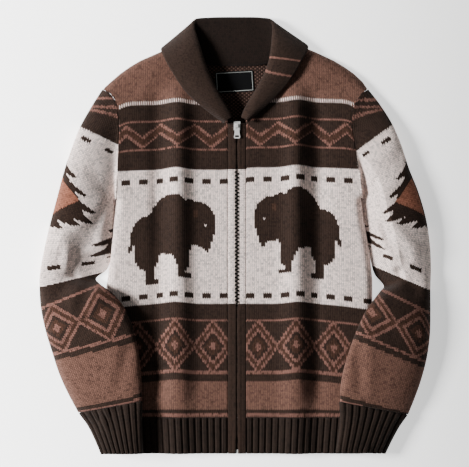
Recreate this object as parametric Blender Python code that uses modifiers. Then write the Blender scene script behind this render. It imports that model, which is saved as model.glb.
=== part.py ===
"""A zipped knit jacket with a shawl collar, laid flat on its back.

Frame: +X is the right of the laid jacket as one looks down on it, +Y runs up the jacket to the
collar and +Z points away from the surface it lies on. Tables are in millimetres measured from the
middle of the zip; CENTRE moves the finished jacket so that its box is centred on the origin.
"""
import math

import bpy
import numpy as np
from mathutils import Matrix, Vector

MM = 0.001

# Cloth and seams
WALL = 3.0            # thickness of the knit
COLLAR_WALL = 3.6     # the collar is knitted double
GAP = 0.4             # between two pieces at a seam
RIB_RISE = 1.2        # how far a rib stands out of its valley
HEM_RIB_PITCH = 11.5
CUFF_RIBS = 20

# Heights of the laid body
FRONT_REST = 4.3      # where the rim of a front meets the back
FRONT_RISE = 12.5     # from that rim to the outer face of the front
SIDE_ROUND = 18.0     # width over which a side seam rounds off
SHOULDER_ROUND = 22.0
RIDGE_AT, RIDGE_RISE, RIDGE_WIDTH = 110.0, 5.0, 17.0
VALLEY_AT, VALLEY_DROP, VALLEY_WIDTH = 136.0, 2.0, 9.0
BLOUSE_RISE = 2.5     # fullness just above the hem rib

# Lengths along the body
HEM_END = -369.0
HEM_TOP = -308.0
UNDERARM = 62.0
NECK_TOP = 330.0

# Front opening
BAND_INNER, BAND_OUTER = 4.2, 15.3
BAND_TOP = 193.0
PANEL_INNER = 15.8
TAPE_INNER, TAPE_OUTER, TAPE_WALL, TAPE_Z = 3.4, 13.8, 0.7, 12.7
CHAIN_HALF, CHAIN_LOW, CHAIN_HIGH = 3.1, 12.0, 15.8

# Slider and its pull
AXIS_Y, AXIS_Z = 188.0, 20.4
SLIDER_LOW, SLIDER_HIGH = 180.5, 195.5
PLATE_TOP = 19.0
PULL_THICK = 1.2

CENTRE = (3.0, -2.2)  # moves the middle of the zip to its place in the jacket's frame

# Half widths of the body from the zip line, up each side edge and round each armhole to the tip
# columns: height up the jacket, left half width, right half width
BODY_EDGE = np.array([
    (-369, 221, 221),
    (-308, 228, 228),
    (-193, 231, 231),
    (-125, 229, 231),
    (-74, 221, 231),
    (-36, 216, 227),
    (-6, 214, 223),
    (25, 211, 217),
    (62, 207, 213),
    (105, 204, 209),
    (147, 201, 201),
    (181, 200, 196),
    (207, 201, 194),
    (220, 202, 197),
    (232, 207, 203),
    (244, 216, 212),
    (251, 229, 223),
], float)

# Shoulder line from the neck to the armhole tip
# columns: distance from the zip line, height on the left, height on the right
SHOULDER = np.array([
    (90, 332, 332),
    (133, 314, 315),
    (165, 300, 300),
    (182, 290, 290),
    (199, 278, 278),
    (214, 265, 264),
    (223, 257, 251),
    (229, 251, 246),
], float)

# Front neckline under the collar, and the back neckline
# columns: distance from the zip line, height
FRONT_NECK = np.array([(15.8, 198), (30, 208), (46, 230), (62, 252), (75, 274), (86, 300), (92, 331)], float)
BACK_NECK = np.array([(92, 330), (80, 313), (62, 302), (30, 298), (0, 297)], float)

# Rows of a front, where each starts at the zip or neckline and where it ends at the edge
# columns: height at the inner end, height at the outer end
FRONT_ROWS = np.array([
    (-308, -308), (-297, -297), (-280, -280), (-245, -245), (-205, -205), (-165, -165),
    (-125, -125), (-90, -90), (-55, -55), (-20, -20), (10, 10), (36, 36), (62, 62),
    (92, 88), (120, 114), (148, 139), (174, 162), (198, 183), (222, 196), (248, 206),
    (270, 214), (290, 221), (306, 229), (318, 237), (325.5, 243), (329.5, 248.5), (331, 251),
], float)
FRONT_COLUMNS = (0, 0.16, 0.3, 0.39, 0.46, 0.53, 0.6, 0.7, 0.8, 0.88, 0.93, 0.962, 0.984, 0.996, 1)

# Sleeves, a row for each section from the armhole to the cuff
# columns: outer edge x and y, inner edge x and y, thickness of the laid sleeve, share carried by the body
SLEEVE_LEFT = np.array([
    (-229, 251, -207, 62, 24, 0),
    (-246, 224, -209, 52, 31, 0),
    (-267, 186, -211, 38, 37, 0),
    (-282, 147, -213, 23, 41, 0),
    (-294, 110, -215.5, 6, 43, 0),
    (-306, 65, -218.5, -14, 43, 0),
    (-318, 20, -221, -37, 41, 0),
    (-328, -23, -228, -57, 37, 0),
    (-335, -60, -240, -71, 31, 0),
    (-336, -91, -233, -80, 31, 0.8),
    (-333, -125, -211, -95, 34, 1),
    (-325, -162, -192, -118, 35, 1),
    (-314, -198, -177, -151, 34, 1),
    (-303, -232, -167, -193, 32, 1),
    (-289, -264, -162, -235, 30, 1),
    (-270.5, -299.5, -161, -277.6, 24, 1),
], float)
SLEEVE_RIGHT = np.array([
    (223, 251, 213, 62, 24, 0),
    (243, 225, 216, 48, 31, 0),
    (264, 191, 219.5, 33, 37, 0),
    (279, 156, 223, 16, 41, 0),
    (292, 116, 226.5, -3, 43, 0),
    (308, 76, 230.5, -23, 43, 0),
    (321, 31, 234, -45, 41, 0),
    (328, -14, 240, -65, 37, 0),
    (330, -54, 250, -84, 31, 0),
    (329, -91, 242, -94, 31, 0.8),
    (329, -128, 221, -120, 34, 1),
    (328, -167, 207, -147, 35, 1),
    (323, -205, 194, -179, 34, 1),
    (314, -241, 180, -224, 32, 1),
    (303, -273, 175, -252, 30, 1),
    (291.5, -302.6, 174, -278.6, 24, 1),
], float)
ARMHOLE_CARRY = (1.0, 0.7, 0.45, 0.25, 0.1)  # share of the armhole's curve kept by the first sections

# Cuffs
# columns: outer edge x and y, inner edge x and y, thickness
CUFF_LEFT = np.array([
    (-270, -300, -161, -278, 22),
    (-254, -321, -161, -306, 23),
    (-242, -343, -160.5, -337, 23),
    (-231, -368, -159.5, -367, 21),
], float)
CUFF_RIGHT = np.array([
    (291, -303, 174, -279, 22),
    (277, -322, 175, -307, 23),
    (264, -345, 172, -338, 23),
    (253, -368, 167.5, -364, 21),
], float)

# Collar sections from the bottom of the V round the neck: the seam, the roll and the free edge
# columns: seam x y z, roll x y z, edge x y z, and how far the fall lies over (1) or under (-1)
COLLAR = np.array([
    (-21, 200, 19.2, -9.5, 202, 23.2, -22, 193, 23.6, 1),
    (-31, 213, 19.2, -15, 215, 23.4, -42, 207, 23.4, 1),
    (-46, 234, 19.2, -26, 232, 23.6, -66, 226, 23.2, 1),
    (-60, 255, 19.2, -38, 254, 24.0, -88, 246, 23.5, 1),
    (-72, 277, 19.4, -49, 277, 24.5, -105, 271, 25.0, 1),
    (-82, 300, 18.6, -58, 303, 25.0, -120, 296, 24.0, 1),
    (-88, 317, 17.0, -67, 333, 24.0, -128, 314, 16.5, 0.9),
    (-84, 325, 12.5, -76, 367, 15.0, -127, 322, 8.5, 0.1),
    (-64, 298, 5.5, -55, 371, 7.2, -92, 338, 2.6, -0.9),
    (-34, 291.5, 5.2, -28, 371.5, 6.8, -40, 311, 2.4, -1),
    (0, 290.5, 5.2, 0, 371.5, 6.8, 0, 308, 2.4, -1),
    (34, 291.5, 5.2, 24, 371.5, 6.8, 40, 311, 2.4, -1),
    (64, 298, 5.5, 46, 371, 7.2, 90, 338, 2.6, -0.9),
    (82, 325, 12.5, 62, 366, 15.0, 119, 326, 8.5, 0.1),
    (87, 317, 17.0, 60, 333, 24.0, 120, 317, 16.5, 0.9),
    (80, 300, 18.6, 57, 303, 25.0, 109, 297, 24.0, 1),
    (71, 277, 19.4, 48, 277, 24.5, 97, 276, 25.0, 1),
    (59, 255, 19.2, 36, 254, 24.0, 84, 258, 23.5, 1),
    (45, 234, 19.2, 23, 232, 23.6, 62, 234, 23.2, 1),
    (30, 213, 19.2, 13, 215, 23.4, 38, 212, 23.4, 1),
    (20, 200, 19.2, 8.5, 202, 23.2, 18, 195, 23.6, 1),
], float)
ROLL_BACK = 9.0       # how far from the fold the two leaves of the collar part
ROLL_RADIUS = 4.3

# Label
LABEL_SIZE = (65.0, 36.0, 0.8)
LABEL_AT = (-4.0, 264.0, 3.8)
LABEL_TURN = 3.5      # degrees

KNIT_DARK = (0.040, 0.024, 0.017, 1)
KNIT_BROWN = (0.22, 0.10, 0.07, 1)
KNIT_CREAM = (0.66, 0.60, 0.54, 1)
LABEL_BLACK = (0.010, 0.010, 0.010, 1)
METAL_SILVER = (0.62, 0.62, 0.62, 1)
TAPE_DARK = (0.020, 0.014, 0.011, 1)


def clear_scene():
    for item in list(bpy.data.objects):
        bpy.data.objects.remove(item, do_unlink=True)


def make_collection(name):
    collection = bpy.data.collections.new(name)
    bpy.context.scene.collection.children.link(collection)
    return collection


def material(name, colour, roughness=0.9, metallic=0.0):
    made = bpy.data.materials.new(name)
    made.use_nodes = True
    shader = made.node_tree.nodes["Principled BSDF"]
    shader.inputs["Base Color"].default_value = colour
    shader.inputs["Roughness"].default_value = roughness
    shader.inputs["Metallic"].default_value = metallic
    return made


def smooth_rows(rows, steps):
    """Catmull-Rom curve through the rows of a table, with steps stretches between two rows."""
    rows = np.asarray(rows, float)
    padded = np.vstack([2 * rows[0] - rows[1], rows, 2 * rows[-1] - rows[-2]])
    found = []
    for i in range(len(rows) - 1):
        p0, p1, p2, p3 = padded[i:i + 4]
        for t in np.arange(steps) / steps:
            found.append(0.5 * (2 * p1 + (p2 - p0) * t + (2 * p0 - 5 * p1 + 4 * p2 - p3) * t ** 2
                                + (3 * p1 - p0 - 3 * p2 + p3) * t ** 3))
    found.append(rows[-1])
    return np.array(found)


def smoothstep(t):
    t = np.clip(t, 0, 1)
    return t * t * (3 - 2 * t)


def rounded(distance, reach):
    """Quarter circle: 0 at an edge and 1 from reach inwards."""
    return np.sqrt(1 - (1 - np.clip(distance / reach, 0, 1)) ** 2)


def body_edge(x, y):
    """Half width of the body at a height, on the side that x is on."""
    left = np.interp(y, BODY_EDGE[:, 0], BODY_EDGE[:, 1])
    right = np.interp(y, BODY_EDGE[:, 0], BODY_EDGE[:, 2])
    return np.where(np.asarray(x) < 0, left, right)


def shoulder_height(x):
    left = np.interp(np.abs(x), SHOULDER[:, 0], SHOULDER[:, 1])
    right = np.interp(np.abs(x), SHOULDER[:, 0], SHOULDER[:, 2])
    return np.where(np.asarray(x) < 0, left, right)


def body_height(x, y):
    """Height of the front's outer face over a point of the plan: rounded edges and long soft folds."""
    x, y = np.asarray(x, float), np.asarray(y, float)
    inside = body_edge(x, y) - np.abs(x) + 1.2 * np.clip(y - UNDERARM, 0, None)
    below = (shoulder_height(x) - y) * 0.85
    fade = 1 - smoothstep((y - 215) / 60)
    ridge = RIDGE_RISE * np.exp(-((np.abs(x) - RIDGE_AT) / RIDGE_WIDTH) ** 2)
    valley = VALLEY_DROP * np.exp(-((np.abs(x) - VALLEY_AT) / VALLEY_WIDTH) ** 2)
    above_hem = y - HEM_TOP
    blouse = BLOUSE_RISE * smoothstep(above_hem / 14) * (1 - smoothstep((above_hem - 20) / 45))
    away = smoothstep((np.abs(x) - 20) / 40)
    calm = np.where(y < HEM_TOP, 0.5, 0.5 + 0.5 * smoothstep(above_hem / 60))
    rise = FRONT_RISE + (ridge - valley) * fade * calm + blouse * away
    return FRONT_REST + rise * rounded(inside, SIDE_ROUND) * rounded(below, SHOULDER_ROUND)


def surface(name, points, closed, finish, collection):
    """Mesh through a grid of points in millimetres, rows first; closed joins each row's ends."""
    rows, columns = points.shape[:2]
    index = np.arange(rows * columns).reshape(rows, columns)
    following = np.roll(index, -1, axis=1)
    last = columns if closed else columns - 1
    faces = []
    for i in range(rows - 1):
        for j in range(last):
            faces.append((index[i, j], following[i, j], following[i + 1, j], index[i + 1, j]))
    mesh = bpy.data.meshes.new(name)
    mesh.from_pydata((points.reshape(-1, 3) * MM).tolist(), [], [tuple(map(int, f)) for f in faces])
    mesh.update()
    made = bpy.data.objects.new(name, mesh)
    collection.objects.link(made)
    mesh.materials.append(finish)
    mesh.shade_smooth()
    return made


def thicken(piece, thickness, offset, group=None, least=0.0):
    """Cloth wall from an open surface; offset -1 grows it behind the faces and 1 in front."""
    solid = piece.modifiers.new("wall", "SOLIDIFY")
    solid.thickness = thickness * MM
    solid.offset = offset
    if group is not None:
        raised = piece.vertex_groups.new(name="ribs")
        for i, weight in enumerate(group.ravel()):
            raised.add([i], float(weight), "REPLACE")
        solid.vertex_group = "ribs"
        solid.thickness_vertex_group = least
    return piece


def flat_piece(name, loops, low, high, finish, collection):
    """A flat outline, with any holes as further loops, as a filled curve between two heights."""
    curve = bpy.data.curves.new(name, "CURVE")
    curve.dimensions = "2D"
    curve.fill_mode = "BOTH"
    curve.extrude = (high - low) * 0.5 * MM
    for loop in loops:
        spline = curve.splines.new("POLY")
        spline.points.add(len(loop) - 1)
        for point, (x, y) in zip(spline.points, loop):
            point.co = (x * MM, y * MM, 0, 1)
        spline.use_cyclic_u = True
    made = bpy.data.objects.new(name, curve)
    made.location = (0, 0, (low + high) * 0.5 * MM)
    curve.materials.append(finish)
    collection.objects.link(made)
    return made


def box(name, low, high, finish, collection, bevel=0.0):
    """A cube between two corners, with its scale applied before any bevel."""
    bpy.ops.mesh.primitive_cube_add(size=1)
    made = bpy.context.object
    made.name = name
    low, high = np.array(low, float), np.array(high, float)
    made.data.transform(Matrix.Diagonal((*((high - low) * MM), 1)))
    made.location = (low + high) * 0.5 * MM
    for owner in list(made.users_collection):
        owner.objects.unlink(made)
    collection.objects.link(made)
    made.data.materials.append(finish)
    if bevel:
        edge = made.modifiers.new("soft edges", "BEVEL")
        edge.width = bevel * MM
        edge.segments = 2
    return made


def side_points(side, rows):
    """Points up one side edge of the body and round its armhole."""
    column = 1 if side < 0 else 2
    return np.array([(side * row[column], row[0]) for row in rows])


def body_outline(side):
    """Half of the back's outline, from the hem up the side, the armhole and the shoulder to the neck."""
    edge = side_points(side, BODY_EDGE[1:])
    column = 1 if side < 0 else 2
    tip = np.abs(edge[-1, 0])
    shoulder = [(side * row[0], row[column]) for row in SHOULDER[::-1] if row[0] < tip - 1]
    neck = [(side * row[0], row[1]) for row in BACK_NECK]
    return list(map(tuple, edge)) + shoulder + neck


def build_back(parts, knit):
    left = body_outline(-1)
    right = body_outline(1)
    flat_piece("back_panel", [left[:-1] + right[::-1]], 0, WALL, knit, parts)
    top, end = HEM_TOP - GAP, HEM_END
    wide, narrow = BODY_EDGE[1, 1], BODY_EDGE[0, 1]
    hem = [(-wide, top), (-narrow, end), (narrow, end), (wide, top)]
    flat_piece("hem_rib_back", [hem], 0, WALL, knit, parts)


def front_points(side):
    """Rows of a front from the zip or neckline to the side edge or armhole."""
    rows = []
    column = 1 if side < 0 else 2
    tip_height = BODY_EDGE[-1, 0]
    for inner_y, outer_y in FRONT_ROWS:
        outer_x = np.interp(outer_y, BODY_EDGE[:, 0], BODY_EDGE[:, column])
        inner_x = np.interp(inner_y, FRONT_NECK[:, 1], FRONT_NECK[:, 0])
        share = np.array(FRONT_COLUMNS)
        x = side * (inner_x + (outer_x - inner_x) * share)
        y = inner_y + (outer_y - inner_y) * share
        # the top rows bow up to follow the shoulder line
        crown = shoulder_height(x) - (NECK_TOP + 1 + (tip_height - NECK_TOP - 1) * share)
        lean = smoothstep((inner_y - 200) / 131)
        y = y + crown * lean
        rows.append(np.stack([x, y, body_height(x, y)], axis=1))
    return np.array(rows)


def build_front(side, name, parts, knit):
    points = front_points(side)
    if side < 0:
        points = points[:, ::-1]
    front = surface(name, points, False, knit, parts)
    return thicken(front, WALL, -1)


def build_hem_front(side, name, parts, knit):
    """Ribs stand out of the outer face; the inside is plain."""
    heights = np.array([HEM_TOP - GAP, -328, -348, HEM_END])
    count = 2 * int(round((BODY_EDGE[0, 1] - PANEL_INNER) / HEM_RIB_PITCH))
    share = np.linspace(0, 1, count + 1)
    rim = np.array([0.988, 0.997])
    share = np.sort(np.concatenate([share, rim]))
    weight = (np.arange(len(share)) % 2).astype(float)
    weight[-4:] = 0
    rows = []
    for y in heights:
        edge = np.interp(y, BODY_EDGE[:, 0], BODY_EDGE[:, 1]) - WALL
        x = side * (PANEL_INNER + (edge - PANEL_INNER) * share)
        inner = body_height(side * (np.abs(x) + 2.0 * share), np.full_like(x, y)) - WALL - RIB_RISE
        reach = rounded(edge - np.abs(x), SIDE_ROUND - WALL)
        z = FRONT_REST + (inner - FRONT_REST) * reach
        rows.append(np.stack([x, np.full_like(x, y), z], axis=1))
    points = np.array(rows)[::-1]
    weights = np.tile(weight, (len(heights), 1))
    if side < 0:
        points, weights = points[:, ::-1], weights[:, ::-1]
    hem = surface(name, points, False, knit, parts)
    return thicken(hem, WALL + RIB_RISE, 1, weights, WALL / (WALL + RIB_RISE))


def build_band(side, name, parts, knit):
    """The strip of cloth beside the zip."""
    heights = np.linspace(HEM_END, BAND_TOP, 12)
    across = np.array([BAND_INNER, 0.5 * (BAND_INNER + BAND_OUTER), BAND_OUTER])
    x = side * np.tile(across, (len(heights), 1))
    y = np.tile(heights[:, None], (1, 3))
    z = np.full_like(x, FRONT_REST + FRONT_RISE) + np.array([0, 0.5, 0])
    points = np.stack([x, y, z], axis=2)
    if side < 0:
        points = points[:, ::-1]
    band = surface(name, points, False, knit, parts)
    return thicken(band, WALL, -1)


def section_loop(outer, inner, bow, base, height, count, crown=None):
    """A laid tube's section: a flat underside, round edges and a crowned top, as evenly spaced points.

    outer and inner are the ends of its chord in plan, bow moves the chord's points, base gives the
    height of what it lies on and crown, when given, is the height of its top along the chord.
    """
    dense = 240
    turn = np.linspace(0, math.pi, dense)
    share = 0.5 - 0.5 * np.cos(turn)
    chord = outer + (inner - outer) * share[:, None] + bow(share)
    length = np.linalg.norm(inner - outer)
    edge = 0.42 * height
    corner = min(0.35, edge / length)
    floor = base(chord[:, 0], chord[:, 1])
    top = edge + (height - edge) * (1 - np.abs(2 * share - 1) ** 2.3) ** (1 / 2.3)
    if crown is not None:
        top = np.maximum(edge, crown(share, top))
    lift = edge * (1 - rounded(np.minimum(share, 1 - share), corner))
    upper = np.column_stack([chord, floor + top])
    lower = np.column_stack([chord, floor + lift])[::-1][1:-1]
    loop = np.vstack([upper, lower, upper[:1]])
    steps = np.concatenate([[0], np.cumsum(np.linalg.norm(np.diff(loop, axis=0), axis=1))])
    even = np.linspace(0, steps[-1], count, endpoint=False)
    return np.column_stack([np.interp(even, steps, loop[:, i]) for i in range(3)])


def armhole_curve(side):
    """The armhole in plan, from its tip to the underarm, moved out by the seam's gap."""
    rows = BODY_EDGE[BODY_EDGE[:, 0] >= UNDERARM][::-1]
    points = side_points(side, rows)
    steps = np.concatenate([[0], np.cumsum(np.linalg.norm(np.diff(points, axis=0), axis=1))])
    steps = steps / steps[-1]
    along = np.gradient(points, axis=0)
    normal = np.column_stack([along[:, 1], -along[:, 0]]) * -side
    normal = normal / np.linalg.norm(normal, axis=1)[:, None]
    moved = points + normal * GAP * 1.5
    return lambda share: np.column_stack([np.interp(share, steps, moved[:, i]) for i in range(2)])


def body_base(over, lower):
    """Height of the cloth that a sleeve lies on: the floor, rising softly over the body's side."""
    def base(x, y):
        inside = body_edge(x, y) - np.abs(x)
        full = body_height(np.sign(x) * np.minimum(np.abs(x), body_edge(x, y) - SIDE_ROUND), y) + 1.3
        ramp = smoothstep((inside + 30) / 36)
        return np.maximum(over * full * ramp, 0) + lower
    return base


def tube_rows(table, count, lower, armhole=None):
    rows = []
    for i, row in enumerate(table):
        outer, inner, height = row[0:2], row[2:4], row[4]
        over = row[5] if len(row) > 5 else 1.0
        carry = 0.0
        if armhole is not None:
            carry = np.interp(i * 0.5, range(len(ARMHOLE_CARRY)), ARMHOLE_CARRY, right=0.0)
        crown = None
        if armhole is not None:
            first, last = armhole(np.array([0.0]))[0], armhole(np.array([1.0]))[0]
            if i == 0:
                outer, inner = first, last

            def bow(share, first=first, last=last, carry=carry):
                return carry * (armhole(share) - (first + (last - first) * share[:, None]))

            def crown(share, top, carry=carry):
                seam = armhole(share)
                return top + (carry ** 3) * (body_height(seam[:, 0], seam[:, 1]) - top)
        else:
            def bow(share):
                return np.zeros((len(share), 2))
        rows.append(section_loop(outer, inner, bow, body_base(over, lower), height, count, crown))
    return np.array(rows)


def build_sleeve(side, name, table, parts, knit):
    points = tube_rows(smooth_rows(table, 2), 18, 0.0, armhole_curve(side))
    if side > 0:
        points = points[:, ::-1]
    sleeve = surface(name, points[:, ::-1], True, knit, parts)
    return thicken(sleeve, WALL, -1)


def build_cuff(side, name, table, parts, knit):
    """A ribbed cuff: the inside is plain and the ribs stand out of the outer face."""
    inset = table.copy()
    along = inset[:, 2:4] - inset[:, 0:2]
    along = along / np.linalg.norm(along, axis=1)[:, None]
    inset[:, 0:2] += along * WALL
    inset[:, 2:4] -= along * WALL
    inset[:, 4] -= 2 * WALL
    count = CUFF_RIBS * 2
    points = tube_rows(smooth_rows(inset, 1), count, WALL + RIB_RISE)
    weights = np.tile((np.arange(count) % 2).astype(float), (len(points), 1))
    low = points[:, :, 2] < points[:, :, 2].min(axis=1)[:, None] + 0.3 * inset[:, 4:5]
    weights[low] = 0
    if side > 0:
        points, weights = points[:, ::-1], weights[:, ::-1]
    cuff = surface(name, points[:, ::-1], True, knit, parts)
    return thicken(cuff, WALL + RIB_RISE, 1, weights[:, ::-1], WALL / (WALL + RIB_RISE))


def collar_section(row):
    """Points from the seam over the roll to the free edge."""
    seam, roll, edge, turn = row[0:3], row[3:6], row[6:9], row[9]
    to_seam = (seam - roll) * (1, 1, 0)
    to_edge = (edge - roll) * (1, 1, 0)
    stand_length, fall_length = np.linalg.norm(to_seam), np.linalg.norm(to_edge)
    back = min(ROLL_BACK + 6 * (1 - abs(turn)), 0.6 * stand_length)
    lift = np.array([0, 0, ROLL_RADIUS * turn])
    stand = roll + to_seam / stand_length * back - lift
    fall = roll + to_edge / fall_length * back + lift
    middle = 0.5 * (fall + edge) + np.array([0, 0, max(turn, 0.0)])
    path = smooth_rows([seam, stand, roll, fall, middle, edge], 2)
    return path


def build_collar(parts, knit):
    table = smooth_rows(COLLAR, 2)
    points = np.array([collar_section(row) for row in table])
    collar = surface("collar", points[:, ::-1], False, knit, parts)
    return thicken(collar, COLLAR_WALL, 0)


def build_zip(parts, cutters, tape, metal):
    for side, name in ((-1, "zip_tape_left"), (1, "zip_tape_right")):
        ends = sorted((side * TAPE_INNER, side * TAPE_OUTER))
        low = (ends[0], HEM_END + 1, TAPE_Z)
        high = (ends[1], BAND_TOP, TAPE_Z + TAPE_WALL)
        box(name, low, high, tape, parts)
    stop = HEM_END + 7
    chain_end = AXIS_Y + 2.2
    box("zip_chain", (-CHAIN_HALF, stop + GAP, CHAIN_LOW), (CHAIN_HALF, chain_end, CHAIN_HIGH), metal, parts)
    box("zip_box", (-CHAIN_HALF, HEM_END + 0.5, CHAIN_LOW - 0.6), (CHAIN_HALF, stop, CHAIN_HIGH + 0.6),
        metal, parts, 0.5)
    build_slider(parts, cutters, metal, chain_end + GAP)
    build_pull(parts, metal)


def build_slider(parts, cutters, metal, wedge_start):
    slider = box("zip_slider", (-5.5, SLIDER_LOW, 17.5), (5.5, SLIDER_HIGH, PLATE_TOP), metal, parts)
    added = (
        ("slider_back_plate", (-4.6, SLIDER_LOW + 1, 9.8), (4.6, SLIDER_HIGH - 0.5, 11.6), "UNION"),
        ("slider_wedge", (-2.2, wedge_start, 11.2), (2.2, SLIDER_HIGH - 1, 18.0), "UNION"),
        ("slider_bridge", (-1.5, AXIS_Y - 3.3, 18.5), (1.5, AXIS_Y + 3.3, 22.9), "UNION"),
        ("slider_window", (-3, AXIS_Y - 1.5, PLATE_TOP), (3, AXIS_Y + 1.5, 21.8), "DIFFERENCE"),
    )
    for name, low, high, kind in added:
        tool = box(name, low, high, metal, cutters)
        tool.hide_render = True
        tool.display_type = "WIRE"
        join = slider.modifiers.new(name, "BOOLEAN")
        join.object = tool
        join.operation = kind
    return slider


def build_pull(parts, metal):
    """A flat tab whose top bar turns in the slider's bridge; its origin is the turning axis."""
    outline = [(-3.8, 0.8), (3.8, 0.8), (4.2, -4.0), (4.0, -11.0), (5.4, -18.6), (5.0, -20.6), (3.8, -21.6)]
    outline += [(-x, y) for x, y in outline[::-1] if y < 0.8]
    eye = [(-2.0, -0.8), (-2.0, -4.6), (2.0, -4.6), (2.0, -0.8)]
    window = [(-3.2, -16.2), (-3.6, -19.4), (3.6, -19.4), (3.2, -16.2)]
    half = PULL_THICK * 0.5
    pull = flat_piece("zip_pull", [outline, eye, window], -half, half, metal, parts)
    pull.location = Vector((0, AXIS_Y, AXIS_Z)) * MM
    return pull


def build_label(parts, finish):
    half = np.array(LABEL_SIZE) * 0.5
    label = box("neck_label", -half, half, finish, parts, 0.2)
    label.location = Vector(LABEL_AT) * MM
    label.rotation_euler = (0, 0, math.radians(LABEL_TURN))
    return label


def centre_jacket(*collections):
    for collection in collections:
        for piece in collection.objects:
            piece.location += Vector((CENTRE[0], CENTRE[1], 0)) * MM


def main():
    clear_scene()
    parts = make_collection("knit_jacket")
    cutters = make_collection("cutters")
    dark = material("dark_brown_knit", KNIT_DARK)
    brown = material("brown_knit", KNIT_BROWN)
    cream = material("cream_knit", KNIT_CREAM)
    metal = material("silver_zip_metal", METAL_SILVER, 0.35, 1.0)
    tape = material("zip_tape_cloth", TAPE_DARK)
    woven = material("black_label_cloth", LABEL_BLACK, 0.6)
    build_back(parts, dark)
    sides = ((-1, "left", SLEEVE_LEFT, CUFF_LEFT), (1, "right", SLEEVE_RIGHT, CUFF_RIGHT))
    for side, end, table, cuff in sides:
        build_front(side, "front_" + end, parts, cream)
        build_hem_front(side, "hem_rib_" + end, parts, dark)
        build_band(side, "front_band_" + end, parts, dark)
        build_sleeve(side, "sleeve_" + end, table, parts, brown)
        build_cuff(side, "cuff_" + end, cuff, parts, dark)
    build_collar(parts, dark)
    build_zip(parts, cutters, tape, metal)
    build_label(parts, woven)
    centre_jacket(parts, cutters)


main()
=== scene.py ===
# %% [markdown]
# A knit jacket, laid flat
#
# This lesson dresses a plain model of a zipped shawl-collar jacket in knitted cloth. The plain model
# gives the place and size of every panel. Here each panel becomes a sheet with one small face for
# each half stitch, so that the yarn's colour changes stitch by stitch, as a knitting chart does.

import math

import bpy
import numpy as np
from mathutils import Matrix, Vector


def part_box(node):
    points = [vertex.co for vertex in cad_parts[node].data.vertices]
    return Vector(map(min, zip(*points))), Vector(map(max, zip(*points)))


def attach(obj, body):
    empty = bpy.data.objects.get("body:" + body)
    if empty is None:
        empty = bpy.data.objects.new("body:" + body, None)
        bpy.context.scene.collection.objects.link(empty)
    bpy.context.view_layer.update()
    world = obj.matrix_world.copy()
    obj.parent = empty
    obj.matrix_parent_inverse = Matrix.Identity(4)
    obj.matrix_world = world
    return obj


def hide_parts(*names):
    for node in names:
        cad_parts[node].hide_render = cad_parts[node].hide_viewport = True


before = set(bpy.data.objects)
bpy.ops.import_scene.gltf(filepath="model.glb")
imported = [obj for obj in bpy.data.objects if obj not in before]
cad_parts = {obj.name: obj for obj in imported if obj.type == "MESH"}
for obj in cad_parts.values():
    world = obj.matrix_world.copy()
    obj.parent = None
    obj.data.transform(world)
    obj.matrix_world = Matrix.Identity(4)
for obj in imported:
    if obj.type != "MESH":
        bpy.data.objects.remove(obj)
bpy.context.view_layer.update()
print("plain model:", len(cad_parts), "nodes")

# %% [markdown]
# ## Sizes
#
# Lengths are in millimetres, measured from the middle of the zip: x to the right, y up the jacket.
# CENTRE carries them to the model's frame. The tables are the jacket's own sizes, as it lies: half
# widths up the side edges, the shoulder line, the neckline and the sections of the sleeves, cuffs and
# collar. They keep close to the plain model's outline. The long fold beside the zip is higher than the plain
# model's, and the sleeves' inner edges lie close to the body, because here no space has to stay clear.

# %% Sizes of the cut
MM = 0.001
CENTRE = (3.0, -2.2)
WALL = 3.0         # thickness of the body's, the sleeves' and the ribs' cloth
COLLAR_WALL = 3.6
GAP = 0.4          # between two panels at their seam
RIB_RISE = 1.2     # how far the ribs stand out
# height of the fronts' inner face where they rest, and how far their outer face rises over it
FRONT_REST, FRONT_RISE = 4.3, 12.5
# width over which the body rounds off at its side and at the shoulder
SIDE_ROUND, SHOULDER_ROUND = 18.0, 22.0
# the long fold and the dip beside it: distance from the zip, height or depth, half width
RIDGE_AT, RIDGE_RISE, RIDGE_WIDTH = 99.0, 15.0, 19.0
VALLEY_AT, VALLEY_DROP, VALLEY_WIDTH = 136.0, 4.5, 14.0
# height from which the folds fade out towards the shoulder, and over how far
FADE_FROM, FADE_OVER = 215.0, 60.0
BLOUSE_RISE = 2.5  # how far the cloth bulges over the hem rib
# more folds: x and y of the middle, reach across and along, rise, and lean to the left as it goes up
FOLDS = np.array([
    (-150, 20, 15, 130, 2.6, 0.0), (-66, 250, 16, 50, 2.0, -0.3), (-150, 262, 18, 34, 2.2, -0.5),
    (140, 245, 20, 45, 2.2, 0.5), (-128, -190, 20, 50, 2.4, -0.35), (150, -160, 16, 60, 2.0, 0.25),
    (-40, -250, 18, 60, 1.2, 0.15), (50, -230, 20, 70, 1.4, -0.2), (-185, 120, 10, 60, -1.5, 0.1),
    (60, 90, 26, 90, 1.2, 0.1), (-55, -30, 22, 90, 1.3, 0.1), (170, 60, 14, 90, 1.6, 0.05),
])
HEM_END, HEM_TOP, UNDERARM = -369.0, -308.0, 62.0
# distance from the zip to the front's edge and to the band's outer edge, and the band's upper end
PANEL_INNER = 15.8
BAND_OUTER, BAND_TOP = 15.3, 193.0

# columns: height, left half width, right half width
BODY_EDGE = np.array([
    (-369, 221, 221), (-308, 228, 228), (-193, 231, 231), (-125, 229, 231), (-74, 221, 231),
    (-36, 216, 227), (-6, 214, 223), (25, 211, 217), (62, 207, 213), (105, 204, 209),
    (147, 201, 201), (181, 200, 196), (207, 201, 194), (220, 202, 197), (232, 207, 203),
    (244, 216, 212), (251, 229, 223),
], float)
# columns: distance from the zip line, height on the left, height on the right
SHOULDER = np.array([
    (90, 332, 332), (133, 314, 315), (165, 300, 300), (182, 290, 290), (199, 278, 278),
    (214, 265, 264), (223, 257, 251), (229, 251, 246),
], float)
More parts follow.
